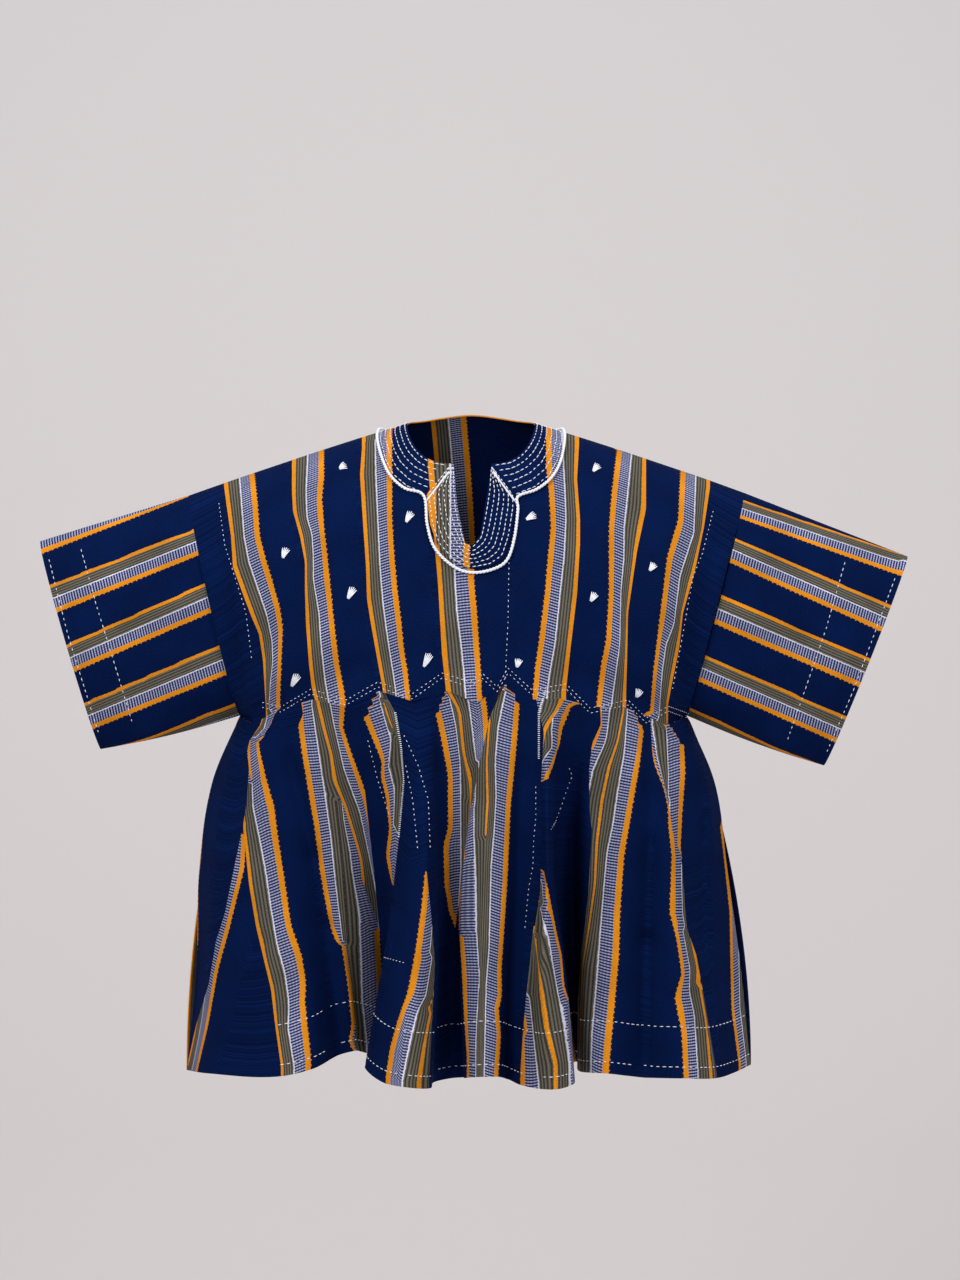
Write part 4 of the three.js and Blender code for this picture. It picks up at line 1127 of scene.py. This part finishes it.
# Rows of running stitch round the neck band and down the placket, and a white seam at each
# of the placket's mitred corners.
NECK_STEPS = 160
SHARES = (0.08, 0.25, 0.42, 0.59, 0.76, 0.92)
neck_side = evenly(np.concatenate([
    on_body(FRONT, CORD_FRONT[9:])[0], on_body(BACK, behind_neck(13))[0],
    on_body(FRONT, CORD_RIGHT)[0], on_body(FRONT, CORD_FRONT[:1])[0]]), NECK_STEPS)
angle = np.arctan2(neck_side[:, 1], neck_side[:, 0])
order = np.argsort(np.arctan2(hole_y, hole_x))
hole_angle, hole_reach = np.arctan2(hole_y, hole_x)[order], np.hypot(hole_x, hole_y)[order]
hole_reach = np.interp(angle, hole_angle, hole_reach, period=2 * np.pi)
neck_edge = np.stack([hole_reach * np.cos(angle), hole_reach * np.sin(angle)], axis=1)
neck_edge = np.concatenate([[(24, -77)], neck_edge, [(-24, -77)]])    # to the slit's corners
neck_side = neck_side[[0, *range(NECK_STEPS), -1]]
rows = []
for share in SHARES:
    ring = [touch((x, y, 150), (0, 0, -1))
            for x, y in evenly(mix(neck_edge, neck_side[:, :2], share), 220)]
    rows += running(np.array([hit for hit in ring if hit is not None]), 4.2, 2.4)
for share in SHARES:
    row = on_body(FRONT, evenly(mix(u_inner, u_outer, share), 120), 1.9)
    rows += running(np.hstack(row), 3.4, 2.2)
tubes("neck_stitches", rows, 0.55)

mitres = []
for corner_in, corner_out in (((449, 472), (425, 503)), ((493, 472), (517, 504))):
    line = on_cloth([corner_in, corner_out])
    mitres += across_line(line, 2.0, 1.0)
    mitres.append((line[:, :3] + line[:, 3:] * 0.6, np.ones(len(line))))
tubes("neck_mitre_stitches", mitres, 0.7)

# The waist seam is held by two rows that run up and down round the points of the godets,
# at the back as at the front.
WAIST_ROW = np.array([
    (262, 704), (281, 709), (311, 691), (346, 702), (378, 684), (412, 696), (442, 675),
    (470, 684), (482, 675), (497, 689), (508, 670), (532, 692), (566, 686), (590, 710),
    (628, 702), (646, 720), (668, 708), (690, 716)])
rows = []
for behind in (False, True):
    for shift in (-2, 3):
        rows += running(on_cloth(WAIST_ROW + [0, shift], behind), 2.0, 3.4)
tubes("waist_stitches", rows, 0.4)

# Two rows of longer running stitches hold the turned hem, all round the folds of the front
# and of the back.
HEM_ROWS = (54, 61)
rows = []
for table, normals in (front_skirt, back_skirt):
    for r in HEM_ROWS:
        rows += running(np.hstack([table[r] + normals[r] * 0.1, normals[r]])[::2], 4.0, 4.0)
tubes("hem_stitches", rows, 0.5)

# Seams and darts that show as dotted rows of small stitches, and the rows of longer ones
# round the cuffs, on both sides of the sleeves.
DOTTED = [
    [(509, 562), (508, 620), (505, 682)],
    [(404, 735), (418, 765), (428, 800), (430, 850)],
    [(406, 765), (413, 800), (418, 850)],
    [(368, 740), (378, 780), (390, 817)],
    [(536, 786), (536, 818), (534, 838), (533, 867), (529, 887), (525, 930)],
    [(569, 768), (572, 776), (565, 794), (561, 806), (555, 822), (549, 832)],
    [(383, 957), (405, 963)],
    [(219, 503), (225, 545), (246, 612), (252, 660)],
    [(713, 511), (702, 554), (693, 576), (679, 654), (672, 690)],
]
SLEEVE_ROWS = [
    [(81, 549), (96, 604), (114, 662), (133, 725)],
    [(49, 559), (68, 635), (99, 734)],
    [(845, 562), (826, 629), (805, 690), (786, 744)],
    [(895, 578), (853, 691), (825, 756)],
]
rows = []
for line in DOTTED:
    rows += running(on_cloth(line), 1.6, 4.2)
for line in DOTTED[:1] + DOTTED[-2:]:
    rows += running(on_cloth(line, True), 1.6, 4.2)
for line in SLEEVE_ROWS:
    rows += running(on_cloth(line), 3.2, 3.6) + running(on_cloth(line, True), 3.2, 3.6)
tubes("seam_stitches", rows, 0.48)

# Two selvedges that come out at the waist are overcast with white thread, which keeps the
# edge from fraying.
selvedges = across_line(on_cloth([(395, 712), (401, 745), (404, 780), (399, 838)]), 3.0, 2.2)
selvedges += across_line(on_cloth([(546, 690), (539, 712), (539, 761)]), 2.6, 2.2)
tubes("selvedge_stitches", selvedges, 0.6)

# Small fans of five satin stitches, scattered over the front and the back. Each row gives a
# fan's place, its lean in degrees and its height.
FANS = [(343, 467, 60, 8), (409, 517, 28, 12), (285, 553, 20, 11), (351, 593, 28, 13),
        (295, 680, 28, 14), (427, 660, 25, 15), (518, 663, 15, 9), (596, 468, 40, 9),
        (531, 517, 62, 11), (593, 597, 30, 10), (652, 567, 35, 9), (638, 693, 25, 9)]
fans = []
for behind in (False, True):
    for x, y, lean, tall in FANS:
        turn = math.radians(lean)
        up = np.array([math.sin(turn), -math.cos(turn)])
        right = np.array([math.cos(turn), math.sin(turn)])
        for spread in (-1, -0.5, 0, 0.5, 1):
            foot = np.array([x, y]) - up * tall * 0.5 + right * spread * 0.8
            tip = np.array([x, y]) + up * tall * (0.5 - 0.12 * abs(spread)) + right * spread * 3.7
            line = on_cloth([foot, tip], behind)
            if len(line) > 2:
                lift = np.sin(np.linspace(0, np.pi, len(line)))[:, None]
                path = line[:, :3] + line[:, 3:] * (0.3 + 1.0 * lift)
                fans.append((path, 0.6 + 0.5 * lift[:, 0]))
tubes("fan_stitches", fans, 0.72, 6)

# The floor and the light: a pale plain studio whose floor runs up into the wall behind,
# softly lit from above and both sides.
backdrop, tree, shader = material("backdrop", **{
    "Base Color": (0.80, 0.752, 0.742, 1), "Roughness": 0.95})
profile = [(-5, -2.2), (2.0, -2.2), (2.5, -2.1), (2.8, -1.8), (2.9, -1.3), (2.9, 3.0)]
verts = [(x, y, z) for y, z in profile for x in (-5, 5)]
mesh = bpy.data.meshes.new("floor")
mesh.from_pydata(verts, [], [(k, k + 1, k + 3, k + 2) for k in range(0, len(verts) - 2, 2)])
mesh.shade_smooth()
mesh.materials.append(backdrop)
put("floor", mesh)


def lamp(name, place, size, power):
    data = bpy.data.lights.new(name, "AREA")
    data.shape = "DISK"
    data.size = size
    data.energy = power
    made = put(name, data)
    made.location = place
    aim = Vector((0, 0, -0.3)) - Vector(place)
    made.rotation_euler = aim.to_track_quat("-Z", "Y").to_euler()


lamp("key", (-1.6, -2.6, 1.5), 1.2, 60)
lamp("fill", (2.0, -2.4, 0.8), 1.6, 30)
lamp("top", (0, -0.6, 2.2), 1.5, 25)
world = bpy.data.worlds.new("studio")
world.use_nodes = True
setting(world.node_tree.nodes["Background"], {"Color": (0.9, 0.92, 0.97, 1), "Strength": 0.55})
bpy.context.scene.world = world
bpy.context.scene.view_settings.view_transform = "Standard"
